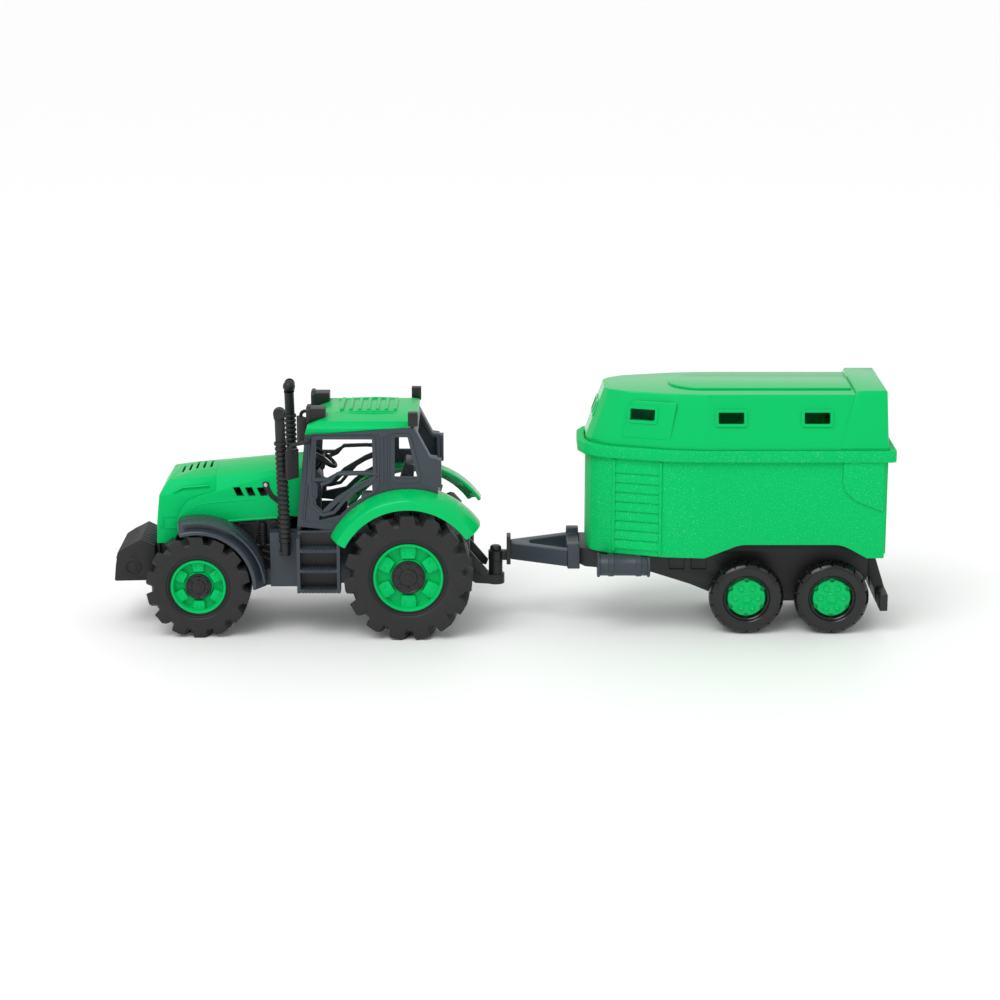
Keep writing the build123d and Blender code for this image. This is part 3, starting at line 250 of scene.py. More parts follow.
def moulded_plastic(name, colour, gloss, grain_size, grain_depth, mottle, coat, tint):
    """Injection-moulded plastic: flow mottling, faint scuffs and a fine eroded grain."""
    board = Board(name)
    flow = board.noise(28, 3)
    scuffs = board.band(board.noise(420, 4, 0.7), 0.60, 0.74)
    grain = board.noise(1 / (grain_size * MM), 2)
    tone = board.mix(flow, shade(colour, 1 - mottle), shade(colour, 1 + mottle))
    worn = board.mix(scuffs * 0.10, tone, shade(colour, 1.6))
    roughness = gloss + flow * 0.06 + scuffs * 0.10 + grain * 0.05
    normal = board.bump(grain + board.noise(90) * 0.6, grain_depth * MM)
    return board.finish(worn, roughness, normal, coat=coat, tint=tint)


def speckled_plastic(name, colour):
    """Spark-eroded matte plastic with pale flecks, as on the trailer's box."""
    board = Board(name)
    flow = board.noise(16, 3)
    flecks = board.band(board.noise(1150, 1, 0.5), 0.60, 0.70)
    pits = board.noise(1700, 3, 0.6)
    tone = board.mix(flow, shade(colour, 0.94), shade(colour, 1.05))
    pale = (colour[0] + 0.10, min(1.0, colour[1] * 1.12 + 0.04), colour[2] + 0.13, 1.0)
    speckled = board.mix(flecks * 0.5, tone, pale)
    normal = board.bump(pits + flecks * 0.5, 0.09 * MM)
    return board.finish(speckled, 0.5 + pits * 0.12, normal, tint=SHEEN)


def tyre_plastic(name, colour, gloss):
    """Tyre plastic: a fine matt grain with a trace of dust in it."""
    board = Board(name)
    dust = board.band(board.noise(60, 5, 0.65), 0.5, 0.8)
    grain = board.noise(1500, 2)
    tone = board.mix(dust * 0.5, shade(colour, 0.9), shade(colour, 1.9))
    normal = board.bump(grain + board.noise(240, 3) * 0.5, 0.05 * MM)
    return board.finish(tone, gloss + dust * 0.08 + grain * 0.06, normal)


def drawn_steel(name, colour):
    """Bright steel with fine lines from drawing."""
    board = Board(name)
    stretched = board.node(
        "ShaderNodeMapping", inputs={"Vector": board.place, "Scale": (3000.0, 60.0, 3000.0)}
    )
    lines = board.node("ShaderNodeTexNoise", inputs={"Vector": stretched.outputs[0], "Scale": 1.0})
    line = Value(board, lines.outputs[0])
    tone = board.mix(line, shade(colour, 0.8), shade(colour, 1.1))
    return board.finish(tone, 0.24 + line * 0.15, board.bump(line, 0.01 * MM), metallic=1.0)


def make_materials():
    """Every finish by name, from the user's colours."""
    colours = bpy.context.scene.toy_colours
    green, slate, black, tyre, steel = (
        tuple(getattr(colours, name)) for name in ("green", "slate", "black", "tyre", "steel")
    )
    # Colour, gloss, grain size and depth in millimetres, mottling, clear coat and reflected tint.
    moulded = {
        "polished_green": (green, 0.14, 1.1, 0.004, 0.03, 0.12, SHEEN),
        "body_green": (green, 0.26, 0.8, 0.008, 0.05, 0.0, SHEEN),
        "rim_green": (green, 0.3, 0.7, 0.015, 0.08, 0.0, SHEEN),
        "satin_slate": (slate, 0.34, 0.6, 0.02, 0.10, 0.0, WHITE),
        "polished_slate": (slate, 0.2, 0.9, 0.006, 0.06, 0.1, WHITE),
        "satin_black": (black, 0.36, 0.6, 0.02, 0.12, 0.0, WHITE),
        "rough_black": (black, 0.5, 0.9, 0.12, 0.15, 0.0, WHITE),
    }
    finishes = {name: moulded_plastic(name, *values) for name, values in moulded.items()}
    finishes["speckled_green"] = speckled_plastic("speckled_green", green)
    finishes["matt_tyre"] = tyre_plastic("matt_tyre", tyre, 0.5)
    finishes["shiny_tyre"] = tyre_plastic("shiny_tyre", shade(tyre, 0.6)[:3], 0.12)
    finishes["steel"] = drawn_steel("steel", steel)
    return finishes


# ---- modelling moves -------------------------------------------------------------------------
def activate(piece):
    bpy.ops.object.select_all(action="DESELECT")
    piece.select_set(True)
    bpy.context.view_layer.objects.active = piece


def start_edit(piece, mode="VERT"):
    activate(piece)
    bpy.ops.object.mode_set(mode="EDIT")
    bpy.ops.mesh.select_mode(type=mode)
    bpy.ops.mesh.select_all(action="SELECT")


def end_edit(merge=0.0):
    """Leaves edit mode with doubles merged, if asked, and faces pointing outwards."""
    bpy.ops.mesh.select_all(action="SELECT")
    if merge:
        bpy.ops.mesh.remove_doubles(threshold=merge)
    bpy.ops.mesh.normals_make_consistent(inside=False)
    bpy.ops.object.mode_set(mode="OBJECT")


def apply(piece, kind, **settings):
    """Adds one modifier and applies it."""
    activate(piece)
    modifier = piece.modifiers.new(kind.title(), kind)
    for name, value in settings.items():
        setattr(modifier, name, value)
    bpy.ops.object.modifier_apply(modifier=modifier.name)
    return piece


def rounded(piece, width=None, segments=2, angle=28.0):
    """Rounds every edge that turns by more than an angle."""
    width = bpy.context.scene.toy_sizes.edge_round if width is None else width * MM
    return apply(
        piece,
        "BEVEL",
        width=width,
        segments=segments,
        limit_method="ANGLE",
        angle_limit=radians(angle),
        harden_normals=False,
        use_clamp_overlap=True,
        miter_outer="MITER_ARC",
    )


def smoothed(piece, angle=32.0):
    activate(piece)
    bpy.ops.object.shade_smooth_by_angle(angle=radians(angle))
    return piece


def loop_of(name, points, filled):
    """A circle primitive whose corners are moved to the given points, in millimetres."""
    bpy.ops.object.select_all(action="DESELECT")
    bpy.ops.mesh.primitive_circle_add(
        vertices=len(points), radius=MM, fill_type="NGON" if filled else "NOTHING"
    )
    piece = bpy.context.object
    piece.name = name
    for vertex, point in zip(piece.data.vertices, points):
        vertex.co = Vector(point) * MM
    return piece


def facet(origin, across, up):
    """The place of a sloping face: across and up the face, and depth out of it."""
    base, right = Vector(origin), Vector(across).normalized()
    outward = right.cross(Vector(up)).normalized()
    top = outward.cross(right)
    return lambda a, b, depth: base + right * a + top * b + outward * depth


def round_corners(corners, radius, steps=4):
    """An outline whose corners are rounded; a radius may be given for each corner."""
    count = len(corners)
    radii = radius if isinstance(radius, (list, tuple)) else [radius] * count
    outline = []
    for index, corner in enumerate(corners):
        here = Vector(corner)
        before = Vector(corners[index - 1]) - here
        after = (Vector(corners[(index + 1) % count]) - here)
        half = before.angle(after) / 2
        reach = radii[index] / max(sin(half) / cos(half), 1e-6)
        reach = min(reach, before.length * 0.48, after.length * 0.48)
        if reach < 0.02:
            outline.append((here.x, here.y))
            continue
        first = here + before.normalized() * reach
        last = here + after.normalized() * reach
        for step in range(steps + 1):
            t = step / steps
            point = first * (1 - t) ** 2 + here * (2 * t * (1 - t)) + last * t * t
            outline.append((point.x, point.y))
    return outline


def rectangle(centre, width, height, radius, steps=4):
    """A rounded rectangle about a centre."""
    x, y = centre
    w, h = width / 2, height / 2
    return round_corners([(x - w, y - h), (x + w, y - h), (x + w, y + h), (x - w, y + h)], radius, steps)


def prism(name, outline, plane, low, high):
    """A flat outline extruded from one depth to another."""
    place = PLANES[plane] if isinstance(plane, str) else plane
    piece = loop_of(name, [place(a, b, low) for a, b in outline], True)
    start_edit(piece, "FACE")
    travel = (place(0.0, 0.0, high) - place(0.0, 0.0, low)) * MM
    bpy.ops.mesh.extrude_region_move(TRANSFORM_OT_translate={"value": travel})
    end_edit()
    return piece


def bead(name, outline, plane, low, high, width):
    """A raised border: an outline inset by a width, its middle removed, extruded to a depth."""
    place = PLANES[plane] if isinstance(plane, str) else plane
    piece = loop_of(name, [place(a, b, low) for a, b in outline], True)
    start_edit(piece, "FACE")
    bpy.ops.mesh.inset(thickness=width * MM, depth=0.0)
    bpy.ops.mesh.delete(type="FACE")
    bpy.ops.mesh.select_all(action="SELECT")
    travel = (place(0.0, 0.0, high) - place(0.0, 0.0, low)) * MM
    bpy.ops.mesh.extrude_region_move(TRANSFORM_OT_translate={"value": travel})
    end_edit()
    return piece


def turned(name, profile, centre, steps=96):
    """A closed (radius, y) outline spun about a cross axle, in millimetres."""
    x, z = centre
    piece = loop_of(name, [(x + r, y, z) for r, y in profile], False)
    start_edit(piece)
    bpy.ops.mesh.spin(
        steps=steps,
        angle=2 * pi,
        center=(x * MM, 0.0, z * MM),
        axis=(0.0, -1.0, 0.0),
        dupli=False,
        use_auto_merge=True,
    )
    end_edit(merge=1e-6)
    return piece


def lathe(name, profile, origin, direction, steps=32):
    """A closed (radius, height) outline spun about any axis through an origin."""
    axis = Vector(direction).normalized()
    across = axis.orthogonal().normalized()
    base = Vector(origin)
    points = [base + across * r + axis * h for r, h in profile]
    piece = loop_of(name, points, False)
    start_edit(piece)
    bpy.ops.mesh.spin(
        steps=steps, angle=2 * pi, center=base * MM, axis=axis, dupli=False, use_auto_merge=True
    )
    end_edit(merge=1e-6)
    return piece


def tube(name, path, radius, sides=14):
    """A round bar along a list of points, in millimetres."""
    points = [Vector(p) for p in path]
    first = (points[1] - points[0]).normalized()
    across = first.orthogonal().normalized()
    ring = [
        points[0] + (Matrix.Rotation(2 * pi * k / sides, 3, first) @ across) * radius
        for k in range(sides)
    ]
    piece = loop_of(name, ring, True)
    start_edit(piece, "FACE")
    heading = first
    for index in range(1, len(points)):
        step = points[index] - points[index - 1]
        bpy.ops.mesh.extrude_region_move(TRANSFORM_OT_translate={"value": step * MM})
        following = points[min(index + 1, len(points) - 1)] - points[index]
        if following.length > 1e-6:
            following.normalize()
            turn_axis = heading.cross(following)
            angle = heading.angle(following)
            if angle > 1e-4:
                mesh = bmesh.from_edit_mesh(piece.data)
                spin = Matrix.Rotation(angle, 3, turn_axis)
                pivot = points[index] * MM
                for vertex in mesh.verts:
                    if vertex.select:
                        vertex.co = pivot + spin @ (vertex.co - pivot)
                bmesh.update_edit_mesh(piece.data)
            heading = following
    end_edit()
    return piece


def copied(piece):
    twin = piece.copy()
    twin.data = piece.data.copy()
    bpy.context.scene.collection.objects.link(twin)
    return twin


def joined(name, pieces):
    bpy.ops.object.select_all(action="DESELECT")
    for piece in pieces:
        piece.select_set(True)
    bpy.context.view_layer.objects.active = pieces[0]
    if len(pieces) > 1:
        bpy.ops.object.join()
    pieces[0].name = name
    pieces[0].data.name = name
    return pieces[0]


def around(piece, centre, count, first=0.0):
    """Copies of a piece turned in equal steps about a cross axle, the original included."""
    x, z = centre
    pivot = Matrix.Translation(Vector((x, 0.0, z)) * MM)
    ring = []
    for index in range(count):
        turn = Matrix.Rotation(-radians(first) - 2 * pi * index / count, 4, "Y")
        twin = copied(piece)
        twin.data.transform(pivot @ turn @ pivot.inverted())
        ring.append(twin)
    bpy.data.objects.remove(piece)
    return ring


def mirrored(piece):
    """The same piece on the other side of the centre line, its faces turned back outwards."""
    twin = copied(piece)
    twin.data.transform(Matrix.Scale(-1.0, 4, (0.0, 1.0, 0.0)))
    twin.data.flip_normals()
    return twin


def cut(piece, cutter):
    """Takes a cutter's shape out of a piece."""
    apply(piece, "BOOLEAN", operation="DIFFERENCE", object=cutter, solver="EXACT")
    bpy.data.objects.remove(cutter)
    return piece


def from_design(node, width=None, segments=2, angle=28.0, flat=1.2):
    """A copy of a design solid, merged, cleared of flat seams if asked, and given rounded edges."""
    mesh = frame["nodes"][node].data.copy()
    piece = bpy.data.objects.new(node + "_moulding", mesh)
    bpy.context.scene.collection.objects.link(piece)
    mesh.materials.clear()
    start_edit(piece)
    bpy.ops.mesh.remove_doubles(threshold=2e-6)
    if flat:
        bpy.ops.mesh.dissolve_limited(angle_limit=radians(flat))
    bpy.ops.object.mode_set(mode="OBJECT")
    return rounded(piece, width, segments, angle)


def node_body(node):
    return frame["nodes"][node]["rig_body"]


def dress(piece, material, node, replaces=True, angle=32.0):
    """Gives a piece its finish and ties it to the design node it belongs to."""
    if not piece.data.materials:
        piece.data.materials.append(MATERIALS[material])
    smoothed(piece, angle)
    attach(piece, node_body(node))
    if replaces:
        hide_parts(node)
    return piece


def span(node):
    """A design node's lowest and highest corner in millimetres."""
    low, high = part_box(node)
    return low / MM, high / MM


MATERIALS = {}


class TOY_OT_materials(bpy.types.Operator):
    """Make every finish used on the toy"""

    bl_idname = "toy.materials"
    bl_label = "Finishes"

    def execute(self, context):
        MATERIALS.update(make_materials())
        return {"FINISHED"}


# Design pieces whose shape stays as drawn, with merged faces and rounded edges, and their finish.
MOULDED = {
    "chassis": "satin_slate",
    "chassis_screws": "steel",
    "front_axle": "steel",
    "rear_axle": "steel",
    "trailer_front_axle": "steel",
    "trailer_rear_axle": "steel",
    "weight_bracket": "satin_slate",
    "cab_floor": "satin_slate",
    "cab_front_frame": "satin_slate",
    "cab_rear_frame": "satin_slate",
    "seat": "satin_slate",
    "steering_console": "satin_slate",
    "steering_wheel": "satin_black",
    "roof_lamps_rear": "satin_black",
    "tail_lamps": "satin_slate",
    "hitch_pin": "satin_black",
    "lift_arms": "satin_black",
    "trailer_chassis": "satin_black",
    "rear_bumper": "satin_black",
}


class TOY_OT_moulded(bpy.types.Operator):
    """Round the edges of the design pieces that keep their drawn shape"""

    bl_idname = "toy.moulded"
    bl_label = "Moulded pieces"

    def execute(self, context):
        for node, material in MOULDED.items():
            dress(from_design(node), material, node)
        return {"FINISHED"}


# ---- wheels ----------------------------------------------------------------------------------
class Wheel:
    """Where a wheel stands: its axle, its radius and its two faces, worked out from the design."""

    def __init__(self, node, side):
        low, high = span(node)
        self.side = side
        self.centre = ((low.x + high.x) / 2, (low.z + high.z) / 2)
        self.radius = (high.x - low.x) / 2
        if low.y * high.y > 0:
            self.outer = side * max(abs(low.y), abs(high.y))
            self.width = high.y - low.y
        else:
            self.outer = side * high.y
            self.width = None

    def y(self, depth):
        """The cross position that lies a depth inside the wheel's outer face."""
        return self.outer - self.side * depth

    def turned(self, name, section, steps=96):
        """Spins a section of (radius, depth) points about the axle."""
        return turned(name, [(r, self.y(depth)) for r, depth in section], self.centre, steps)

    def raised(self, name, outline, low, high):
        """Extrudes an outline of (across, radius) points, drawn at the top of the wheel."""
        x, z = self.centre
        return prism(name, [(x + a, z + r) for a, r in outline], "XZ", self.y(low), self.y(high))

    def stud(self, name, section, across, radius, steps=20):
        """Turns a small (radius, depth) section about its own axis, at the top of the wheel."""
        x, z = self.centre
        origin = (x + across, self.y(0.0), z + radius)
        return lathe(name, section, origin, (0.0, -self.side, 0.0), steps)


def lugged_tyre(wheel, seat, lugs, lug_depth):
    """A farm tyre: flat side walls and two staggered rows of slanted tread blocks."""
    radius, width = wheel.radius, wheel.width
    wall = radius - 1.75 * lug_depth
    bed = radius - lug_depth
    carcass = wheel.turned(
        "carcass",
        [
            (seat, 2.6), (seat + 1.0, 2.4), (seat + 1.5, 1.2), (seat + 2.2, 0.9), (seat + 2.8, 1.2),
            (seat + 3.4, 0.5), (seat + 4.3, 0.15), (wall, 0.15), (wall + 1.2, 0.9), (bed, 4.4),
            (bed + 0.4, width / 2), (bed, width - 4.4), (wall + 1.2, width - 0.9),
            (wall, width - 0.15), (seat + 4.3, width - 0.15), (seat, width - 2.6),
        ],
        120,
    )
    pitch = 360 / lugs
    foot = radius * radians(pitch) * 0.33
    top = foot * 0.74
    end_face = ((-foot, wall - 1.4), (foot, wall - 1.4), (top, radius - 0.05), (-top, radius - 0.05))
    blocks = []
    for row, (start, end) in enumerate(((0.0, width / 2 + 1.6), (width, width / 2 - 1.6))):
        lug = loop_of(
            "lug",
            [Vector((wheel.centre[0] + a, wheel.y(start), wheel.centre[1] + r)) for a, r in end_face],
            True,
        )
        start_edit(lug, "FACE")
        lean = foot * (0.62 if row else -0.62)
        run = wheel.y(end) - wheel.y(start)
        for share, narrowing in ((0.42, 0.96), (0.58, 0.72)):
            travel = Vector((lean * share * 2, run * share, 0.0)) * MM
            bpy.ops.mesh.extrude_region_move(TRANSFORM_OT_translate={"value": travel})
            bpy.ops.transform.resize(
                value=(narrowing, 1.0, 1.0),
                center_override=(wheel.centre[0] * MM + travel.x, 0.0, wheel.centre[1] * MM),
            )
        end_edit()
        rounded(lug, 0.55, 2, 20)
        for vertex in lug.data.vertices:
            across = vertex.co.x / MM - wheel.centre[0]
            reach = hypot(across, vertex.co.z / MM - wheel.centre[1])
            if reach > radius:
                vertex.co.x = (wheel.centre[0] + across * radius / reach) * MM
                vertex.co.z = (wheel.centre[1] + (vertex.co.z / MM - wheel.centre[1]) * radius / reach) * MM
        blocks += around(lug, wheel.centre, lugs, row * pitch / 2)
    return joined("tyre", [carcass, *blocks])


def dished_rim(wheel, seat, hub, width):
    """A deep rim: a thin outer lip, a recessed well and six raised blocks with studs."""
    lip = seat - 1.9
    well = 7.6
    dish = wheel.turned(
        "dish",
        [
            (2.2, width - 2.0), (seat - 0.15, width - 2.0), (seat - 0.15, 1.9), (seat - 0.6, 1.3),
            (lip + 0.4, 1.3), (lip - 0.1, 1.8), (lip - 0.5, 3.4), (lip - 1.0, well - 0.5),
            (lip - 1.6, well), (hub + 1.9, well), (hub + 1.3, well - 0.5), (hub + 1.1, 5.2),
            (hub + 0.6, 4.7), (2.2, 4.7),
        ],
    )
    inner, outer = hub + 1.7, lip - 0.3
    face = 3.9
    half = (inner + outer) / 2 * 0.30
    block = wheel.raised(
        "block",
        [
            (-half * 0.86, inner), (half * 0.86, inner), (half, (inner + outer) / 2), (half, outer),
            (-half, outer), (-half, (inner + outer) / 2),
        ],
        well + 0.3,
        face,
    )
    rounded(block, 0.6, 3, 40)
    stud = [(0.0, face + 0.6), (1.15, face + 0.6), (1.1, face - 0.5), (0.8, face - 0.8), (0.0, face - 0.85)]
    studs = [wheel.stud("stud", stud, a * half * 0.56, (inner + outer) / 2 + 0.2, 16) for a in (-1, 1)]
    spoke = joined("spoke", [block, *studs])
    return joined("rim", [dish, *around(spoke, wheel.centre, 6)])


def bolted_cap(wheel, radius, bolts):
    """The black hub: a disc with a rolled edge, a ring of bolts and a hexagon nut."""
    disc = wheel.turned(
        "disc",
        [
            (0.0, 4.9), (radius - 0.5, 4.9), (radius - 0.1, 4.4), (radius - 0.1, 3.3),
            (radius - 0.5, 2.6), (radius - 1.3, 2.4), (radius - 2.0, 2.9), (radius * 0.52, 3.0),
            (radius * 0.48, 2.3), (radius * 0.40, 1.9), (0.0, 1.9),
        ],
        64,
    )
    bolt = wheel.stud(
        "bolt",
        [(0.0, 3.4), (radius * 0.115, 3.4), (radius * 0.11, 2.1), (radius * 0.07, 1.8), (0.0, 1.75)],
        0.0,
        radius * 0.69,
        12,
    )
    corner = radius * 0.30
    nut = wheel.raised(
        "nut", [(corner * cos(radians(a)), corner * sin(radians(a))) for a in range(0, 360, 60)], 2.2, 1.3
    )
    rounded(nut, 0.3, 2, 30)
    stem = wheel.turned(
        "stem", [(0.0, 1.6), (corner * 0.5, 1.6), (corner * 0.5, 1.0), (corner * 0.36, 0.8), (0.0, 0.8)], 24
    )
    return joined("cap", [disc, *around(bolt, wheel.centre, bolts), nut, stem])


class TOY_OT_tractor_wheels(bpy.types.Operator):
    """Model the lugged tyres, dished rims and bolted hubs of the tractor"""

    bl_idname = "toy.tractor_wheels"
    bl_label = "Tractor wheels"

    def execute(self, context):
        sizes = context.scene.toy_sizes
        for end, lugs, depth, bolts in (
            ("front", sizes.front_lugs, sizes.lug_depth / MM * 0.82, 6),
            ("rear", sizes.rear_lugs, sizes.lug_depth / MM, 8),
        ):
            wheel = Wheel(f"{end}_tyre_left", -1)
            rim_low, rim_high = span(f"{end}_rim_left")
            cap_low, cap_high = span(f"{end}_hub_caps")
            seat = (rim_high.x - rim_low.x) / 2
            cap_radius = (cap_high.x - cap_low.x) / 2
            tyre = lugged_tyre(wheel, seat, lugs, depth)
            rim = dished_rim(wheel, seat, cap_radius - 0.6, wheel.width)
            cap = bolted_cap(wheel, cap_radius, bolts)
            for piece, part, material in ((tyre, "tyre", "matt_tyre"), (rim, "rim", "rim_green")):
                twin = mirrored(piece)
                for each, side in ((piece, "left"), (twin, "right")):
                    each.name = f"{end}_{part}_{side}_moulding"
                    dress(each, material, f"{end}_{part}_{side}")
            caps = joined(f"{end}_hub_caps_moulding", [cap, mirrored(cap)])
            dress(caps, "satin_black", f"{end}_hub_caps")
        return {"FINISHED"}


def smooth_tyre(wheel, seat, width):
    """A rounded road tyre with short cuts over both shoulders and a matt ring on its side."""
    radius = wheel.radius
    half = [
        (seat + 0.1, 3.0), (seat + 0.35, 1.7), (seat + 1.1, 1.0), (seat + 1.9, 1.4),
        (seat + 2.4, 0.7), (seat + 2.9, 0.3), (seat + 7.0, 0.3), (seat + 7.7, 0.15),
        (radius - 3.4, 0.7), (radius - 1.9, 1.8), (radius - 0.7, 3.3), (radius - 0.05, 5.2),
    ]
    section = half + [(r, width - depth) for r, depth in reversed(half)]
    ring = wheel.turned("ring", section, 120)
    cutters = []
    for row, (start, end) in enumerate(((-0.5, 5.4), (width + 0.5, width - 5.4))):
        groove = wheel.raised(
            "groove",
            [(-0.5, radius - 3.0), (0.5, radius - 3.0), (0.6, radius + 1.0), (-0.6, radius + 1.0)],
            start,
            end,
        )
        start_edit(groove, "FACE")
        bpy.ops.transform.rotate(
            value=radians(14 if row else -14),
            orient_axis="Z",
            center_override=(wheel.centre[0] * MM, wheel.y(start) * MM, 0.0),
        )
        end_edit()
        cutters += around(groove, wheel.centre, 18, row * 10)
    cut(ring, joined("grooves", cutters))
    ring.data.materials.append(MATERIALS["shiny_tyre"])
    ring.data.materials.append(MATERIALS["matt_tyre"])
    x, z = wheel.centre
    for face in ring.data.polygons:
        reach = hypot(face.center.x / MM - x, face.center.z / MM - z)
        if abs(face.normal.y) > 0.9 and seat + 2.4 < reach < seat + 7.6:
            face.material_index = 1
    return ring


def bumped_hub(wheel, seat, width):
    """A flat green hub: six notches in its edge, six dimpled bumps and a ringed boss."""
    face = 3.6
    disc = wheel.turned(
        "disc",
        [
            (2.2, width - 2.0), (seat - 0.1, width - 2.0), (seat - 0.1, face + 2.4),
            (seat - 0.9, face + 0.6), (seat - 1.3, face + 0.1), (seat - 1.8, face), (0.0, face),
            (0.0, face + 3.0), (2.2, face + 3.0),
        ],
    )
    bore = [(0.0, 0.0), (1.9, 0.0), (1.9, face + 2.0), (0.0, face + 2.0)]
    notch = wheel.stud("notch", bore, 0.0, seat - 1.2, 20)
    cut(disc, joined("notches", around(notch, wheel.centre, 6)))
    bump = wheel.stud(
        "bump",
        [
            (0.0, face + 0.5), (2.5, face + 0.5), (2.4, face - 0.5), (1.9, face - 1.1),
            (1.3, face - 1.2), (0.9, face - 0.8), (0.0, face - 0.8),
        ],
        0.0,
        seat * 0.56,
        28,
    )
    boss = wheel.turned(
        "boss",
        [
            (0.0, face + 0.5), (3.9, face + 0.5), (3.8, face - 0.9), (3.3, face - 1.3),
            (2.8, face - 1.2), (2.5, face - 0.7), (0.0, face - 0.7),
        ],
        40,
    )
    return joined("hub", [disc, *around(bump, wheel.centre, 6, 30), boss])


class TOY_OT_trailer_wheels(bpy.types.Operator):
    """Model the rounded tyres and bumped hubs of the trailer"""

    bl_idname = "toy.trailer_wheels"
    bl_label = "Trailer wheels"

    def execute(self, context):
        for end in ("front", "rear"):
            wheel = Wheel(f"trailer_{end}_tyres", -1)
            hub_low, hub_high = span(f"trailer_{end}_hubs")
            seat = (hub_high.x - hub_low.x) / 2
            width = self.tyre_width(f"trailer_{end}_tyres")
            tyre = smooth_tyre(wheel, seat, width)
            hub = bumped_hub(wheel, seat, width)
            tyres = joined(f"trailer_{end}_tyres_moulding", [tyre, mirrored(tyre)])
            dress(tyres, "shiny_tyre", f"trailer_{end}_tyres")
            hubs = joined(f"trailer_{end}_hubs_moulding", [hub, mirrored(hub)])
            dress(hubs, "polished_green", f"trailer_{end}_hubs")
        return {"FINISHED"}

    def tyre_width(self, node):
        """One tyre's width, from the design node that holds the pair."""
        ys = [abs(vertex.co.y) / MM for vertex in frame["nodes"][node].data.vertices]
        return max(ys) - min(ys)


# ---- trailer body ----------------------------------------------------------------------------
def both_sides(outline):
    """A whole plan from its right half, which runs from the front to the back."""
    return outline + [(x, -y) for x, y in reversed(outline)]


def on_plane(place, x, z):
    """The (across, up) position on a sloping face that has a given x and z."""
    origin, right, top = place(0, 0, 0), place(1, 0, 0), place(0, 1, 0)
    right, top = right - origin, top - origin
    dx, dz = x - origin.x, z - origin.z
    scale = right.x * top.z - top.x * right.z
    return (dx * top.z - top.x * dz) / scale, (right.x * dz - dx * right.z) / scale


def bevel_edges(piece, chosen, width, segments=3):
    """Rounds only the edges whose two ends pass a test, given in millimetres."""
    start_edit(piece, "EDGE")
    bpy.ops.mesh.select_all(action="DESELECT")
    bpy.ops.object.mode_set(mode="OBJECT")
    corners = piece.data.vertices
    for edge in piece.data.edges:
        first, last = (corners[index].co / MM for index in edge.vertices)
        edge.select = chosen(first, last)
    bpy.ops.object.mode_set(mode="EDIT")
    bpy.ops.mesh.bevel(offset=width * MM, segments=segments, affect="EDGES", clamp_overlap=True)
    bpy.ops.object.mode_set(mode="OBJECT")
    return piece


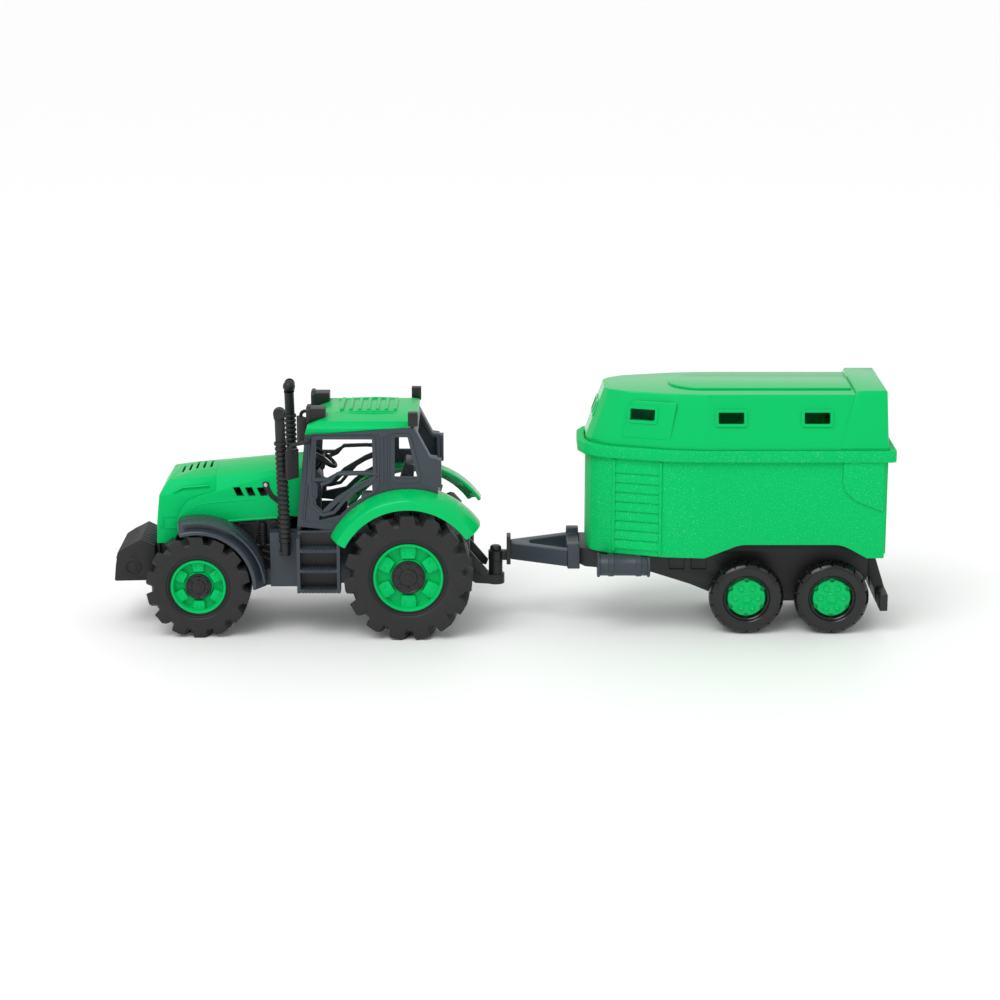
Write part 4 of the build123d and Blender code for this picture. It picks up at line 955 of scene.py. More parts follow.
class TOY_OT_trailer_box(bpy.types.Operator):
    """Model the trailer's speckled box with its rim band, boarded corners and shaped rear panels"""

    bl_idname = "toy.trailer_box"
    bl_label = "Trailer box"

    rim_front = 6.3
    rim_back = 6.7
    wall = 2.4
    seat = 4.5
    band = 8.5

    def execute(self, context):
        low, high = span("trailer_box")
        front, back = low.x + self.rim_front, high.x - self.rim_back
        half = high.y - 3.0
        floor, rim = low.z, high.z
        seat = rim - self.seat
        plan = [
            (front, 14), (front + 3, 25), (front + 8.7, 30.5), (front + 16.4, 35.9),
            (front + 56, 47.8), (front + 80.7, half), (back, half),
        ]
        radii = [4, 4, 3, 5, 14, 14, 1.2]
        walls = prism("walls", round_corners(both_sides(plan), radii + radii[::-1]), "XY", floor, seat)
        inside = [(x + (self.wall if x < back else -self.wall), y - self.wall) for x, y in plan]
        cut(walls, prism("space", both_sides(inside), "XY", floor + self.wall, seat + 1))
        arch_front = span("trailer_front_tyres")[0].x - 1.2
        arch = [
            (arch_front - 6, floor - 1), (arch_front - 1, floor + 0.8),
            (arch_front + 22, floor + 9.9), (back - 30, floor + 9.9), (back - 13.5, floor + 0.8),
            (back - 11, floor - 1),
        ]
        cut(walls, prism("arch", round_corners(arch, [1, 6, 24, 24, 6, 1], 8), "XZ", -half - 2, half + 2))
        door_half = span("rear_ramp")[1].y - 1.7
        door_top = span("rear_ramp")[1].z + 1.0
        sill = floor + self.wall
        doorway = [(-door_half, sill), (door_half, sill), (door_half, door_top), (-door_half, door_top)]
        cut(walls, prism("doorway", doorway, "YZ", back - self.wall - 1, back + 1))
        rounded(walls, 0.7, 3, 25)

        rim_plan = [
            (front - 6.3, 15), (front - 2, 26.5), (front + 5, 33), (front + 15, 38.9),
            (front + 55, 50.8), (front + 80, half + 3), (back + 6.7, half + 3),
        ]
        rims = [5, 5, 4, 6, 14, 14, 4]
        outer = round_corners(both_sides(rim_plan), rims + rims[::-1])
        band = prism("band", outer, "XY", rim - self.band, rim)
        lid_plan = [
            (front - 0.8, 12), (front + 3.0, 22.9), (front + 9.2, 28.9), (front + 17.0, 34.6),
            (front + 56.6, 47.7), (front + 82, half + 0.8), (back + 1.2, half + 0.8),
        ]
        cut(band, prism("seat", both_sides(lid_plan), "XY", seat, rim + 1))
        cut(band, prism("mouth", both_sides(inside), "XY", rim - self.band - 1, rim))
        rounded(band, 1.3, 3, 40)

        trim = []
        for side in (-1, 1):
            trim += self.boards(front, side, floor)
            trim.append(self.rear_panel(back, side * half, side, rim - self.band))
            trim.append(self.corner_post(back, half, side, floor))
        box = joined("trailer_box_moulding", [walls, band, *trim])
        dress(box, "speckled_green", "trailer_box", angle=35)
        return {"FINISHED"}

    def boards(self, front, side, floor):
        """Nine overlapping boards and their frame on the slanting front part of one side."""
        foot = Vector((front + 16.4, side * 35.9, 0))
        along = Vector((39.6, side * 11.9, 0)).normalized()
        out = Vector((-11.9, side * 39.6, 0)).normalized()
        pieces = []

        def section(a, b, depth):
            return foot + out * a + Vector((0, 0, b)) + along * depth

        for board in range(9):
            z = floor + 4.2 + board * 7.0
            wedge = [(-1.0, z), (1.1, z), (1.15, z + 1.2), (0.15, z + 7.0), (-1.0, z + 7.0)]
            pieces.append(rounded(prism("board", wedge, section, 4.4, 36.4), 0.25, 2, 40))
        for start, width in ((2.2, 2.2), (36.4, 2.2)):
            post = [(-1.0, floor + 1.5), (1.3, floor + 1.5), (1.3, floor + 70.2), (-1.0, floor + 70.2)]
            pieces.append(rounded(prism("jamb", post, section, start, start + width), 0.5, 3, 40))
        return pieces

    def rear_panel(self, back, wall_y, side, top):
        """The raised upper rear area with its sweeping lower edge."""
        outline = [
            (back - 1.6, top + 1), (back - 31, top + 1), (back - 31, top - 16.5),
            (back - 29, top - 22), (back - 22, top - 28.4), (back - 12, top - 32.6),
            (back - 1.6, top - 36.5),
        ]
        smooth = round_corners(outline, [0, 0, 8, 8, 10, 12, 0], 6)
        panel = prism("rear_panel", smooth, "XZ", wall_y - side * 1.0, wall_y + side * 1.5)
        return rounded(panel, 1.1, 4, 40)

    def corner_post(self, back, half, side, floor):
        """A rounded post down each rear corner, beside the door."""
        outline = [(back - 0.5, side * (half - 8.6)), (back + 1.1, side * (half - 8.6)),
                   (back + 1.1, side * (half - 1.6)), (back - 0.5, side * (half - 1.6))]
        return rounded(prism("corner_post", outline, "XY", floor + 3, floor + 70), 0.6, 3, 40)


class TOY_OT_trailer_lid(bpy.types.Operator):
    """Model the lid's window frames, raised panels and mouldings"""

    bl_idname = "toy.trailer_lid"
    bl_label = "Trailer lid"

    wall = 2.4
    # How far each side window lies behind the lid's front, and its height.
    windows = ((39.4, 161), (101.7, 160.4), (162.6, 160.4))

    def execute(self, context):
        low, high = span("lid")
        front, back = low.x + 0.4, high.x - 0.8
        half = span("trailer_box")[1].y - 3.0
        rim = span("trailer_box")[1].z
        foot, crease, top = low.z, rim + 2.5, rim + 38
        shell = self.hood("hood", front, back, half, (foot, crease, top), 0.0)
        bevel_edges(shell, lambda a, b: a.z > top - 0.1 and b.z > top - 0.1, 2.4, 4)
        rounded(shell, 0.8, 3, 14)
        block = self.rear_block(back, half, (foot, crease, top))
        for solid in (shell, block):
            cut(solid, self.hood("space", front, back, half, (foot - 1, crease, top - self.wall), self.wall))
        windows = []
        for window_x, window_z in self.windows:
            hole = rectangle((front + window_x, window_z), 18.4, 8.4, 1.6)
            windows.append(prism("hole", hole, "XZ", -60, 60))
        for side in (-1, 1):
            hole = rectangle((side * 7.25, 160.2), 8.4, 8.6, 1.2)
            windows.append(prism("hole", hole, "YZ", front - 5, front + 20))
        holes = joined("windows", windows)
        cut(shell, copied(holes))
        trim = []
        for side in (-1, 1):
            flank = facet(
                (front + 82, side * (half + 0.4), crease), (1, 0, 0), (0, side * -10.9, top - crease)
            )
            corner = facet(
                (front + 17.2, side * 34.2, crease), (39.5, side * 13.1, 0),
                (10.8, side * -5.7, top - crease),
            )
            sign = -side
            for place, (window_x, window_z) in zip((corner, flank, flank), self.windows):
                centre = on_plane(place, front + window_x, window_z)
                border = rectangle(centre, 22.4, 12.4, 2.4)
                frame_bead = bead("window_frame", border, place, -2.2 * sign, 1.1 * sign, 2.1)
                trim.append(rounded(frame_bead, 0.45, 3, 40))
            trim.append(cut(self.corner_panel(corner, sign), copied(holes)))
            nose = facet((front - 0.4, 0, crease), (0, -1, 0), (13.1, 0, top - crease))
            border = rectangle((side * 7.25, 20.4), 11.8, 12.8, 1.8)
            trim.append(rounded(bead("front_frame", border, nose, -2.2, 0.7, 1.8), 0.4, 3, 40))
        trim.append(self.ridge(front, back, top))
        bpy.data.objects.remove(holes)
        lid = joined("lid_moulding", [shell, block, *trim])
        dress(lid, "polished_green", "lid", angle=30)
        return {"FINISHED"}

    def hood(self, name, front, back, half, levels, inset):
        """The faceted hood: upright to the crease, then leaning in to a smaller flat top."""
        foot, crease, top = levels
        lower = [
            (front - 0.4, 12), (front + 3.3, 22.5), (front + 9.5, 28.5), (front + 17.2, 34.2),
            (front + 56.7, 47.3), (front + 82, half + 0.4), (back + 0.8, half + 0.4),
        ]
        upper = [
            (front + 12.7, 14), (front + 16, 20), (front + 21.7, 24.5), (front + 28, 28.5),
            (front + 64, 37.5), (front + 85, 40), (back - 0.7, 40),
        ]
        radii = [3, 3, 2, 2, 10, 10, 1]
        loops = []
        for half_plan in (lower, upper):
            shrunk = [(x + (inset if x < back - 2 else -inset), y - inset) for x, y in half_plan]
            loops.append(round_corners(both_sides(shrunk), radii + radii[::-1]))
        hood = prism(name, loops[0], "XY", foot, crease)
        start_edit(hood, "FACE")
        bpy.ops.mesh.select_all(action="DESELECT")
        bpy.ops.object.mode_set(mode="OBJECT")
        for face in hood.data.polygons:
            face.select = face.center.z > (crease - 0.01) * MM
        bpy.ops.object.mode_set(mode="EDIT")
        bpy.ops.mesh.extrude_region_move(TRANSFORM_OT_translate={"value": (0, 0, (top - crease) * MM)})
        bpy.ops.object.mode_set(mode="OBJECT")
        roof = [vertex for vertex in hood.data.vertices if vertex.co.z > (top - 0.01) * MM]
        for vertex in roof:
            nearest = min(
                range(len(loops[0])),
                key=lambda i: hypot(vertex.co.x / MM - loops[0][i][0], vertex.co.y / MM - loops[0][i][1]),
            )
            vertex.co.x, vertex.co.y = (value * MM for value in loops[1][nearest])
        start_edit(hood)
        end_edit()
        return hood

    def rear_block(self, back, half, levels):
        """The raised band round the back of the hood, with a slanting front edge."""
        _, crease, top = levels
        edge = half + 0.7
        block = prism(
            "rear_block",
            [(back - 34, -edge), (back + 0.8, -edge), (back + 0.8, edge), (back - 34, edge)],
            "XY",
            crease - 2,
            crease,
        )
        start_edit(block, "FACE")
        bpy.ops.mesh.select_all(action="DESELECT")
        bpy.ops.object.mode_set(mode="OBJECT")
        for face in block.data.polygons:
            face.select = face.center.z > (crease - 0.01) * MM
        bpy.ops.object.mode_set(mode="EDIT")
        bpy.ops.mesh.extrude_region_move(TRANSFORM_OT_translate={"value": (0, 0, (top + 3 - crease) * MM)})
        bpy.ops.object.mode_set(mode="OBJECT")
        for vertex in block.data.vertices:
            if vertex.co.z > (top + 2.9) * MM:
                forward = vertex.co.x < (back - 12) * MM
                vertex.co.x = (back - 21.5 if forward else back) * MM
                vertex.co.y = (40.8 if vertex.co.y > 0 else -40.8) * MM
        return rounded(block, 1.2, 4, 20)

    def corner_panel(self, place, sign):
        """A shallow pad on the front corner facet that fades into it towards the back and foot."""
        outline = round_corners([(7, 4), (43, 4), (46, 30.5), (13.5, 30.5)], [2, 1, 1, 3], 5)
        pad = prism("corner_pad", outline, place, -1.0 * sign, 0.0)
        rise = place(0, 0, 1) - place(0, 0, 0)
        origin = place(0, 0, 0)
        right = place(1, 0, 0) - origin
        up = place(0, 1, 0) - origin
        for vertex in pad.data.vertices:
            offset = vertex.co / MM - origin
            if abs(offset.dot(rise)) < 0.01:
                a, b = offset.dot(right), offset.dot(up)
                lift = 0.9 * min(1.0, max(0.0, (46 - a) / 26)) * min(1.0, max(0.0, (b - 2) / 14))
                vertex.co += rise * lift * sign * MM
        start_edit(pad)
        end_edit()
        return rounded(pad, 0.45, 3, 35)

    def ridge(self, front, back, top):
        """The raised strip along the roof, round at its front end, with a soft edge all round."""
        half = 24.2
        centre = front + 59 + half
        outline = [
            (centre + half * cos(radians(a)), half * sin(radians(a))) for a in range(90, 271, 9)
        ] + [(back - 23.6, -half), (back - 23.6, half)]
        strip = prism("ridge", outline, "XY", top - 0.5, top + 1.6)
        return rounded(strip, 0.75, 3, 40)


class TOY_OT_ramp(bpy.types.Operator):
    """Model the rear ramp: a boarded door with two pull handles"""

    bl_idname = "toy.ramp"
    bl_label = "Rear ramp"

    def execute(self, context):
        high = span("rear_ramp")[1]
        door = from_design("rear_ramp", 0.3)
        pulls = []
        for side in (-1, 1):
            path = [(high.x - 0.4, side * 30, high.z - 12), (high.x + 1.6, side * 30, high.z - 12),
                    (high.x + 1.6, side * 20, high.z - 12), (high.x - 0.4, side * 20, high.z - 12)]
            pulls.append(tube("pull", path, 0.9, 12))
        ramp = joined("rear_ramp_moulding", [door, *pulls])
        dress(ramp, "speckled_green", "rear_ramp")
        return {"FINISHED"}


# ---- tractor body ----------------------------------------------------------------------------
def painted(piece, material, angle=32.0):
    """Gives one part of a larger moulding its own finish before the parts are joined."""
    piece.data.materials.append(MATERIALS[material])
    return smoothed(piece, angle)


def moulding(node, material, extras, width=None, segments=2, angle=28.0, flat=1.2):
    """A design piece with rounded edges and its modelled details joined on."""
    base = from_design(node, width, segments, angle, flat)
    painted(base, material)
    return dress(joined(node + "_moulding", [base, *extras]), material, node)


def arc_bar(name, centre, radius, section, start, end, steps=28):
    """A (radius, y) section swept round a cross axle between two angles, in degrees."""
    x, z = centre
    ray = (cos(radians(start)), sin(radians(start)))
    points = [(x + (radius + r) * ray[0], y, z + (radius + r) * ray[1]) for r, y in section]
    piece = loop_of(name, points, True)
    start_edit(piece, "FACE")
    bpy.ops.mesh.spin(
        steps=steps,
        angle=radians(end - start),
        center=(x * MM, 0.0, z * MM),
        axis=(0.0, 1.0, 0.0),
        dupli=False,
        use_auto_merge=False,
    )
    end_edit(merge=1e-7)
    return piece


class TOY_OT_bonnet(bpy.types.Operator):
    """Model the bonnet's two shells with their seam, crease lines, side straps and head lamps"""

    bl_idname = "toy.bonnet"
    bl_label = "Bonnet"

    def execute(self, context):
        nose_details = []
        shell_details = []
        for side in (-1, 1):
            face = side * 27.6
            for z in (84.0, 75.5):
                bar = prism("lamp_line", rectangle((-240.5, z), 12.5, 1.2, 0.5), "XZ", face, side * 28.3)
                nose_details.append(painted(rounded(bar, 0.25), "body_green"))
            lamp = prism("lamp_relief", rectangle((-245.2, 79.7), 4.0, 8.0, 1.6), "XZ", face, side * 28.5)
            nose_details.append(painted(rounded(lamp, 0.5, 3), "body_green"))
            crease = [(-236, side * 27.5, 101.5), (-229, side * 27.7, 105.4), (-210, side * 27.6, 107.0)]
            nose_details.append(painted(tube("crease", crease, 0.7, 10), "body_green"))
            sill = [(-198.5, side * 27.7, 80.6), (-180, side * 27.7, 82.0), (-161.3, side * 27.7, 83.4)]
            shell_details.append(painted(tube("sill_line", sill, 0.8, 10), "body_green"))
            line = [(-222.6, side * 27.8, 89.4), (-219, side * 27.8, 92.3), (-211.6, side * 27.8, 94.1),
                    (-196.7, side * 27.8, 95.5), (-176, side * 27.8, 97.2)]
            shell_details.append(painted(tube("flank_line", line, 0.45, 10), "body_green"))
            strap = [(-171.2, 109.8), (-167.2, 109.8), (-166.2, 105.4), (-163.5, 100.6), (-156.6, 95.2),
                     (-158.4, 91.6), (-165.9, 97.6), (-169.6, 103.2), (-171.6, 107.2)]
            band = prism("strap", round_corners(strap, 1.2), "XZ", side * 27.2, side * 28.5)
            shell_details.append(painted(rounded(band, 0.3), "rough_black"))
            stud = [(0.0, 0.0), (1.5, 0.0), (1.5, 0.6), (1.0, 0.9), (0.0, 0.9)]
            head = lathe("stud", stud, (-169.1, side * 28.3, 107.6), (0, side, 0), 20)
            shell_details.append(painted(head, "steel"))
        moulding("bonnet_nose", "body_green", nose_details, 0.7, 3)
        moulding("bonnet_shell", "body_green", shell_details, 0.6, 3)
        return {"FINISHED"}


class TOY_OT_engine(bpy.types.Operator):
    """Model the engine sides: finned cylinder, pulleys, panel frame and pipes"""

    bl_idname = "toy.engine"
    bl_label = "Engine"

    fins = 7

    def execute(self, context):
        details = []
        for side in (-1, 1):
            y = side * 26.6
            fins = [(0.0, 63.0), (2.4, 63.0)]
            for fin in range(self.fins):
                z = 64.0 + fin * 2.1
                fins += [(2.4, z), (3.3, z + 0.4), (3.3, z + 1.1), (2.4, z + 1.5)]
            fins += [(2.4, 79.5), (0.0, 79.5)]
            details.append(lathe("finned_cylinder", fins, (-172.3, y, 0.0), (0, 0, 1), 24))
            for x, z, r in ((-163.6, 77.6, 3.4), (-163.6, 67.2, 3.0), (-183.0, 56.0, 2.4)):
                pulley = [(0.0, -1.5), (r, -1.5), (r, 0.6), (r - 0.5, 1.0), (r - 1.2, 1.0), (r - 1.5, 0.3),
                          (1.2, 0.3), (1.0, 1.4), (0.0, 1.4)]
                details.append(lathe("pulley", pulley, (x, y, z), (0, side, 0), 28))
            frame = bead("panel_frame", rectangle((-183.5, 72.0), 12.0, 15.0, 1.0), "XZ", y, side * 27.6, 0.9)
            details.append(rounded(frame, 0.25))
            for path in (
                [(-173, y, 58.6), (-166, y, 56.4), (-158, y, 55.4)],
                [(-172, y, 53.8), (-165, y, 50.2), (-158, y, 49.6)],
                [(-187, y, 62.4), (-176, y, 62.4), (-160, y, 62.8)],
            ):
                details.append(tube("pipe", path, 1.1, 12))
        for detail in details:
            painted(detail, "satin_black")
        moulding("engine_block", "satin_black", details)
        return {"FINISHED"}


class TOY_OT_cab(bpy.types.Operator):
    """Model the cab sides: window and door mouldings, handle, pillar ribs and the roof lines"""

    bl_idname = "toy.cab"
    bl_label = "Cab"

    window = [
        (-134.4, 147.4), (-89.4, 147.4), (-88.9, 117.8), (-90.6, 114.4),
        (-107.2, 104.2), (-118.9, 90.4), (-128.0, 88.2), (-136.4, 96.4),
        (-137.8, 116.7),
    ]
    door = [
        (-136.4, 149.0), (-86.4, 149.6), (-86.6, 110.4), (-89.0, 106.4),
        (-103.0, 97.0), (-116.0, 84.6), (-139.6, 84.2), (-141.6, 88.0),
    ]
    quarter = [
        (-78.2, 149.2), (-64.4, 149.2), (-57.0, 116.7), (-60.2, 113.4),
        (-75.4, 113.4), (-78.4, 116.4),
    ]

    def execute(self, context):
        for side, name in SIDES:
            node = "cab_side_" + name
            low, high = span(node)
            face = low.y if side < 0 else high.y
            details = [
                self.border("window_frame", self.window, side, face, 0.8, 2.4, 3.0),
                self.border("quarter_frame", self.quarter, side, face, 0.8, 2.6, 3.0),
                self.border("door_edge", self.door, side, face, 0.45, 0.9, 4.0),
            ]
            line = rectangle((-80.2, 129.8), 0.8, 42.0, 0.3)
            details.append(prism("panel_line", line, "XZ", face - side, face + side * 0.4))
            for x in (-88.0, -85.0, -82.2):
                rib = rectangle((x + 0.6, 129.0), 1.3, 35.0, 0.5)
                ridge = prism("pillar_rib", rib, "XZ", face - side, face + side * 0.7)
                details.append(rounded(ridge, 0.35, 3))
            grip = rectangle((-134.2, 107.3), 6.4, 12.6, 3.1, 8)
            details.append(self.border("grip_frame", grip, side, face, 0.9, 1.3, 0, False))
            middle = rectangle((-134.2, 107.3), 4.2, 10.2, 2.0, 6)
            details.append(rounded(prism("grip", middle, "XZ", face - side, face + side * 0.3), 0.3))
            rail = [(-128.4, face - side * 0.6, 111.5), (-122, face - side * 0.4, 114.2), (-117, face, 119.6),
                    (-100, face, 120.2), (-88, face - side * 0.4, 119.4)]
            details.append(tube("hand_rail", rail, 1.5, 14))
            post = [(-141.0, face, 86.0), (-137.6, face, 120.0), (-136.2, face, 147.0)]
            details.append(tube("front_post", post, 1.0, 12))
            for detail in details:
                painted(detail, "satin_slate")
            moulding(node, "satin_slate", details, 0.5, 3)
        self.roof()
        return {"FINISHED"}

    def border(self, name, outline, side, face, proud, width, radius, round_it=True):
        """A raised frame along the inside of an outline on the cab's outer face."""
        smooth = round_corners(outline, radius, 5) if round_it else outline
        frame = bead(name, smooth, "XZ", face - side, face + side * proud, width)
        return rounded(frame, 0.4, 3, 35)

    def roof(self):
        """The roof with its two rows of lengthwise lines beside the ribs."""
        crown = span("roof")[1].z - 0.6
        lines = []
        for side in (-1, 1):
            for y, drop in ((21.6, 0.9), (25.2, 1.4)):
                path = [(-119, side * y, crown - drop - 1.5), (-105, side * y, crown - drop - 0.5),
                        (-91, side * y, crown - drop), (-77, side * y, crown - drop - 0.6)]
                lines.append(painted(tube("roof_line", path, 0.9, 10), "body_green"))
        moulding("roof", "body_green", lines, 0.8, 4)


class TOY_OT_steps(bpy.types.Operator):
    """Model the cab steps: three serrated treads, with a black plate behind them as painted shade in the
    recess
    """

    bl_idname = "toy.steps"
    bl_label = "Cab steps"

    teeth = 11
    length = 31.0  # of the stepped part, along the vehicle
    post = 3.5
    wall = 44.1
    edge = 54.0
    tread_pitch = 14.9

    def execute(self, context):
        for side, name in SIDES:
            node = "step_" + name
            low, high = span(node)
            wall = side * self.wall
            edge = side * self.edge
            front, back = high.x - self.length, high.x
            pitch = (back - front - 2 * self.post) / self.teeth
            details = []
            # The black plate on the wall behind the treads is painted shade: it stands in for the shadow that
            # falls in the recess between the treads.
            panel = [(front + 2.6, 35), (back - 2.6, 35), (back - 2.6, 76.4), (front + 2.6, 76.4)]
            recess_shade_plate = prism("recess_shade_plate", panel, "XZ", wall, wall + side * 0.5)
            details.append(painted(recess_shade_plate, "satin_black"))
            for tread in range(3):
                z = low.z + 0.3 + tread * self.tread_pitch
                for tooth in range(self.teeth):
                    x = front + self.post + pitch * (tooth + 0.5)
                    bump = [(x - pitch * 0.34, edge - side), (x + pitch * 0.34, edge - side),
                            (x + pitch * 0.2, edge + side * 0.8), (x - pitch * 0.2, edge + side * 0.8)]
                    details.append(painted(prism("tooth", bump, "XY", z, z + 2.4), "satin_slate"))
                    bar = [(x - pitch * 0.3, wall + side), (x + pitch * 0.3, wall + side),
                           (x + pitch * 0.3, edge - side * 1.2), (x - pitch * 0.3, edge - side * 1.2)]
                    details.append(painted(prism("grip_bar", bar, "XY", z + 2.2, z + 2.9), "satin_slate"))
            moulding(node, "satin_slate", details, flat=None)
        return {"FINISHED"}


class TOY_OT_guards(bpy.types.Operator):
    """Round the mudguards and add the ridge that runs along each front one"""

    bl_idname = "toy.guards"
    bl_label = "Mudguards"

    def execute(self, context):
        for side, name in SIDES:
            moulding("rear_fender_" + name, "polished_green", [], 1.0, 4)
            wheel = Wheel("front_tyre_" + name, side)
            low, high = span("front_fender_" + name)
            outer = side * max(abs(low.y), abs(high.y))
            bar = [(0.0, outer - side * 0.2), (0.0, outer - side * 5.2), (-1.6, outer - side * 5.2),
                   (-1.6, outer - side * 0.2)]
            ridge = arc_bar("ridge", wheel.centre, 48.6, bar, 4, 103)
            details = [painted(rounded(ridge, 0.7, 3, 40), "polished_slate")]
            guard = "front_fender_" + name
            base = painted(from_design(guard, 1.0, 4), "polished_slate")
            dress(joined("front_guard_" + name, [base, *details]), "polished_slate", guard)
        return {"FINISHED"}


class TOY_OT_fittings(bpy.types.Operator):
    """Model the exhausts' rounded elbows, the weight's ribs, the mirrors and the lamps"""

    bl_idname = "toy.fittings"
    bl_label = "Fittings"

    def execute(self, context):
        for side, name in SIDES:
            high = span("exhaust_" + name)[1]
            ball = [(4.6 * sin(radians(a)), -4.6 * cos(radians(a))) for a in range(0, 181, 15)]
            elbow = lathe("elbow", ball, (-156.9, side * 45.2, high.z - 4.7), (0, 0, 1), 28)
            collar = [(0.0, 0.0), (4.4, 0.0), (4.7, 0.5), (4.7, 1.9), (4.4, 2.4), (0.0, 2.4)]
            ring = lathe("collar", collar, (-156.6, side * 45.0, 141.0), (0, 0, 1), 28)
            details = [painted(elbow, "satin_black"), painted(ring, "satin_black")]
            moulding("exhaust_" + name, "satin_black", details, 0.3)
            moulding("mirror_" + name, "rough_black", [], 0.5, 3)
        self.weight()
        self.lamps()
        return {"FINISHED"}

    def weight(self):
        """Plates side by side along the weight's top, and a boss on each side."""
        details = []
        for rib in range(9):
            y = (rib - 4) * 6.0
            top = [
                (-279.2, 52.0), (-277.2, 57.3), (-271.2, 61.2), (-261.0, 66.3),
                (-256.5, 64.2), (-250.6, 61.6), (-250.6, 50.0),
            ]
            plate = prism("plate", round_corners(top, 0.8), "XZ", y - 1.9, y + 1.9)
            details.append(painted(rounded(plate, 0.5, 3), "rough_black"))
        for side in (-1, 1):
            boss = [(0.0, -1.0), (6.2, -1.0), (6.2, 0.2), (5.8, 0.5), (5.0, 0.5), (4.7, -0.2), (0.0, -0.2)]
            ring = lathe("boss", boss, (-266.7, side * 26.9, 46.0), (0, side, 0), 32)
            details.append(painted(ring, "rough_black"))
        moulding("front_weight", "rough_black", details, 0.8, 3)

    def lamps(self):
        """A raised rim and two screws on each front roof lamp."""
        low, high = span("roof_lamps_front")
        details = []
        for side in (-1, 1):
            rim = bead("rim", rectangle((side * 26.5, high.z - 7.0), 13.5, 12.8, 3.4), "YZ", low.x + 0.4,
                       low.x - 0.5, 1.4)
            details.append(painted(rounded(rim, 0.3), "satin_black"))
            for x in (-131.5, -127.5):
                screw = [(0.0, 0.0), (1.1, 0.0), (1.1, 0.5), (0.8, 0.8), (0.0, 0.8)]
                head = lathe("screw", screw, (x, side * 32.8, 160.5), (0, side, 0), 16)
                details.append(painted(head, "satin_black"))
        moulding("roof_lamps_front", "satin_black", details, 0.6, 3)


# ---- hitch and trailer underside -------------------------------------------------------------
class TOY_OT_hitch(bpy.types.Operator):
    """Model the hitch bars, the coupling collar, the drawbar's edge strips and the side tanks' flanges"""

    bl_idname = "toy.hitch"
    bl_label = "Hitch and tanks"

    def execute(self, context):
        low, high = span("drawbar_frame")
        strips = []
        for side in (-1, 1):
            for z in (low.z + 2.6, high.z - 9.4):
                path = [(low.x + 5.0, side * 6.4, z), (high.x - 9.5, side * 23.6, z)]
                strips.append(painted(tube("edge_strip", path, 0.9, 10), "satin_slate"))
        moulding("drawbar_frame", "satin_slate", strips, 0.8, 3)
        moulding("hitch_drawbar", "satin_black", [], 0.7, 3)
        moulding("coupling_head", "satin_black", [], 0.5, 3)
        for side, name in SIDES:
            self.tank("side_tank_" + name, side)
        return {"FINISHED"}

    def tank(self, node, side):
        """A round tank with a flange at each end and a rib on each strap."""
        low, high = span(node)
        radius = (high.z - low.z) / 2
        origin = (0.0, side * (max(abs(low.y), abs(high.y)) - radius), (low.z + high.z) / 2)
        bands = []
        for start, width, proud in ((low.x, 2.0, 0.9), (low.x + 8.0, 4.2, 0.4), (high.x - 10.4, 4.2, 0.4),
                                    (high.x - 2.0, 2.0, 0.9)):
            reach = radius + proud
            ring = [
                (radius - 1.5, start), (reach - 0.4, start), (reach, start + 0.4),
                (reach, start + width - 0.4), (reach - 0.4, start + width), (radius - 1.5, start + width),
            ]
            bands.append(painted(lathe("band", ring, origin, (1, 0, 0), 40), "satin_slate"))
        moulding(node, "satin_slate", bands, 0.5, 3)


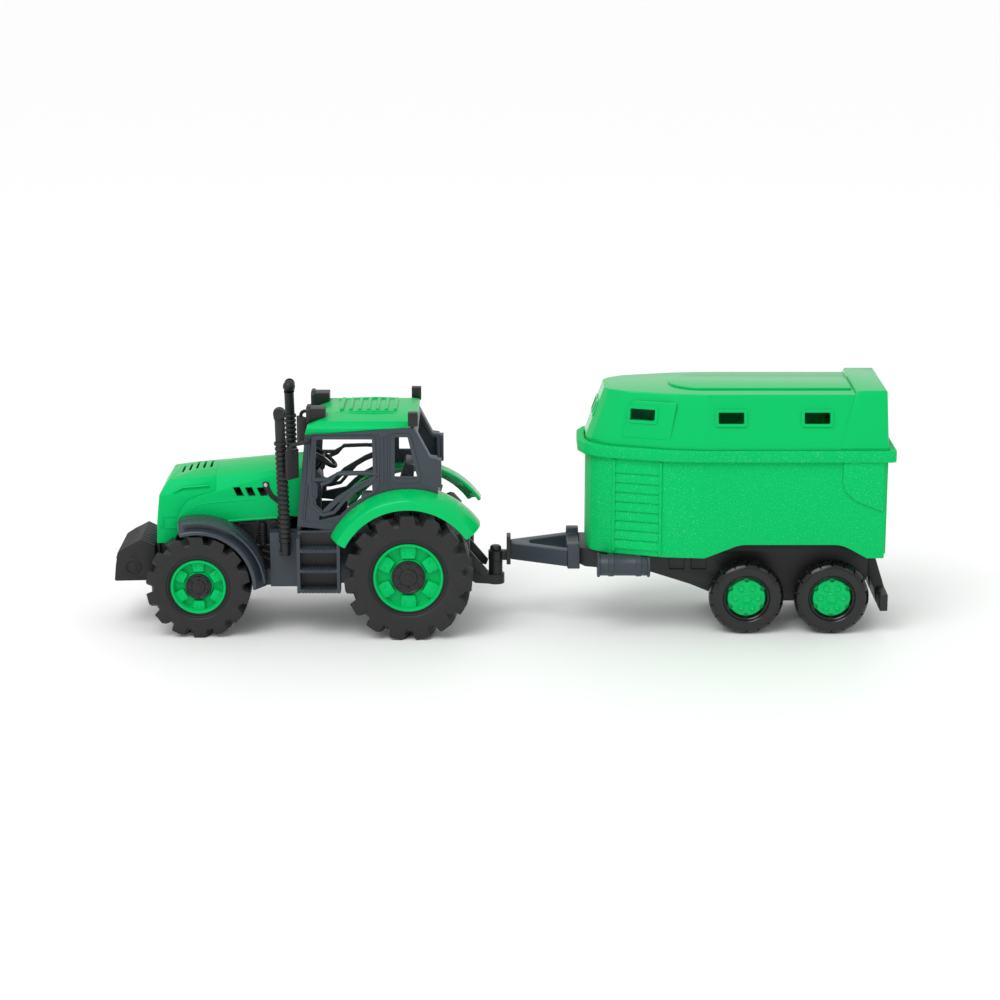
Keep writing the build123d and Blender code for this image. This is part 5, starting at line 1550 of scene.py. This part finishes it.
class TOY_OT_stage(bpy.types.Operator):
    """Set the camera, the floor and the studio lights"""

    bl_idname = "toy.stage"
    bl_label = "Stage"

    camera_height = 14.5  # degrees above the level view
    lens = 98.6
    sensor = 36.0
    floor_size = 60.0
    world_strength = 0.77
    sun_energy = 1.1
    sun_spread = 40.0  # degrees; a wide sun gives soft shadows

    def execute(self, context):
        middle = Vector((-0.00086, 0.0, (cad_low.z + cad_high.z) / 2 - 0.0006))
        distance = context.scene.toy_sizes.camera_distance
        tilt = radians(self.camera_height)
        bpy.ops.object.camera_add(
            location=middle + Vector((0.0, -cos(tilt), sin(tilt))) * distance,
            rotation=(pi / 2 - tilt, 0.0, 0.0),
        )
        camera = context.object
        camera.data.lens = self.lens
        camera.data.sensor_width = self.sensor
        camera.data.clip_end = 20.0
        context.scene.camera = camera
        self.floor()
        self.lights(middle)
        world = bpy.data.worlds.new("studio")
        world.use_nodes = True
        backdrop = world.node_tree.nodes["Background"]
        backdrop.inputs["Color"].default_value = (1.0, 1.0, 1.0, 1.0)
        backdrop.inputs["Strength"].default_value = self.world_strength
        context.scene.world = world
        context.scene.view_settings.view_transform = "Standard"
        return {"FINISHED"}

    def floor(self):
        bpy.ops.object.select_all(action="DESELECT")
        bpy.ops.mesh.primitive_plane_add(size=self.floor_size, location=(0.0, 0.0, cad_low.z))
        floor = bpy.context.object
        floor.name = "floor"
        board = Board("pale_floor")
        floor.data.materials.append(
            board.finish((0.98, 0.98, 0.98, 1.0), 0.55, board.bump(board.noise(30), 0.05 * MM))
        )

    def lights(self, middle):
        """A large soft lamp over the front, a weaker one on each side, and a very soft sun."""
        lamps = (
            ((-0.5, -0.9, 1.5), 0.9, 2.6), ((1.2, -0.8, 1.0), 0.5, 0.7),
            ((0.3, 1.1, 1.3), 0.9, 1.2),
        )
        for spot, size, power in lamps:
            place = middle + Vector(spot)
            aim = (middle - place).to_track_quat("-Z", "Y").to_euler()
            bpy.ops.object.light_add(type="AREA", location=place, rotation=aim)
            lamp = bpy.context.object.data
            lamp.shape = "DISK"
            lamp.size = size
            lamp.energy = power
        toward_sun = Vector((-0.45, -0.75, 1.1))
        bpy.ops.object.light_add(type="SUN", rotation=toward_sun.to_track_quat("Z", "Y").to_euler())
        sun = bpy.context.object.data
        sun.energy = self.sun_energy
        sun.angle = radians(self.sun_spread)


class TOY_PT_panel(bpy.types.Panel):
    bl_idname = "TOY_PT_panel"
    bl_label = "Toy tractor"
    bl_space_type = "VIEW_3D"
    bl_region_type = "UI"
    bl_category = "Toy"

    def draw(self, context):
        layout = self.layout
        for group in (context.scene.toy_sizes, context.scene.toy_colours):
            for name in group.bl_rna.properties.keys():
                if name not in {"rna_type", "name"}:
                    layout.prop(group, name)
        for operator in OPERATORS:
            layout.operator(operator.bl_idname)


OPERATORS = (
    TOY_OT_materials,
    TOY_OT_moulded,
    TOY_OT_tractor_wheels,
    TOY_OT_trailer_wheels,
    TOY_OT_trailer_box,
    TOY_OT_trailer_lid,
    TOY_OT_ramp,
    TOY_OT_bonnet,
    TOY_OT_engine,
    TOY_OT_cab,
    TOY_OT_steps,
    TOY_OT_guards,
    TOY_OT_fittings,
    TOY_OT_hitch,
    TOY_OT_stage,
)
CLASSES = (TOY_PG_sizes, TOY_PG_colours, *OPERATORS, TOY_PT_panel)


def register():
    for each in CLASSES:
        bpy.utils.register_class(each)
    bpy.types.Scene.toy_sizes = bpy.props.PointerProperty(type=TOY_PG_sizes)
    bpy.types.Scene.toy_colours = bpy.props.PointerProperty(type=TOY_PG_colours)


def unregister():
    del bpy.types.Scene.toy_colours
    del bpy.types.Scene.toy_sizes
    for each in reversed(CLASSES):
        bpy.utils.unregister_class(each)


def main():
    register()
    for operator in OPERATORS:
        group, name = operator.bl_idname.split(".")
        getattr(getattr(bpy.ops, group), name)()


if __name__ == "__main__":
    main()
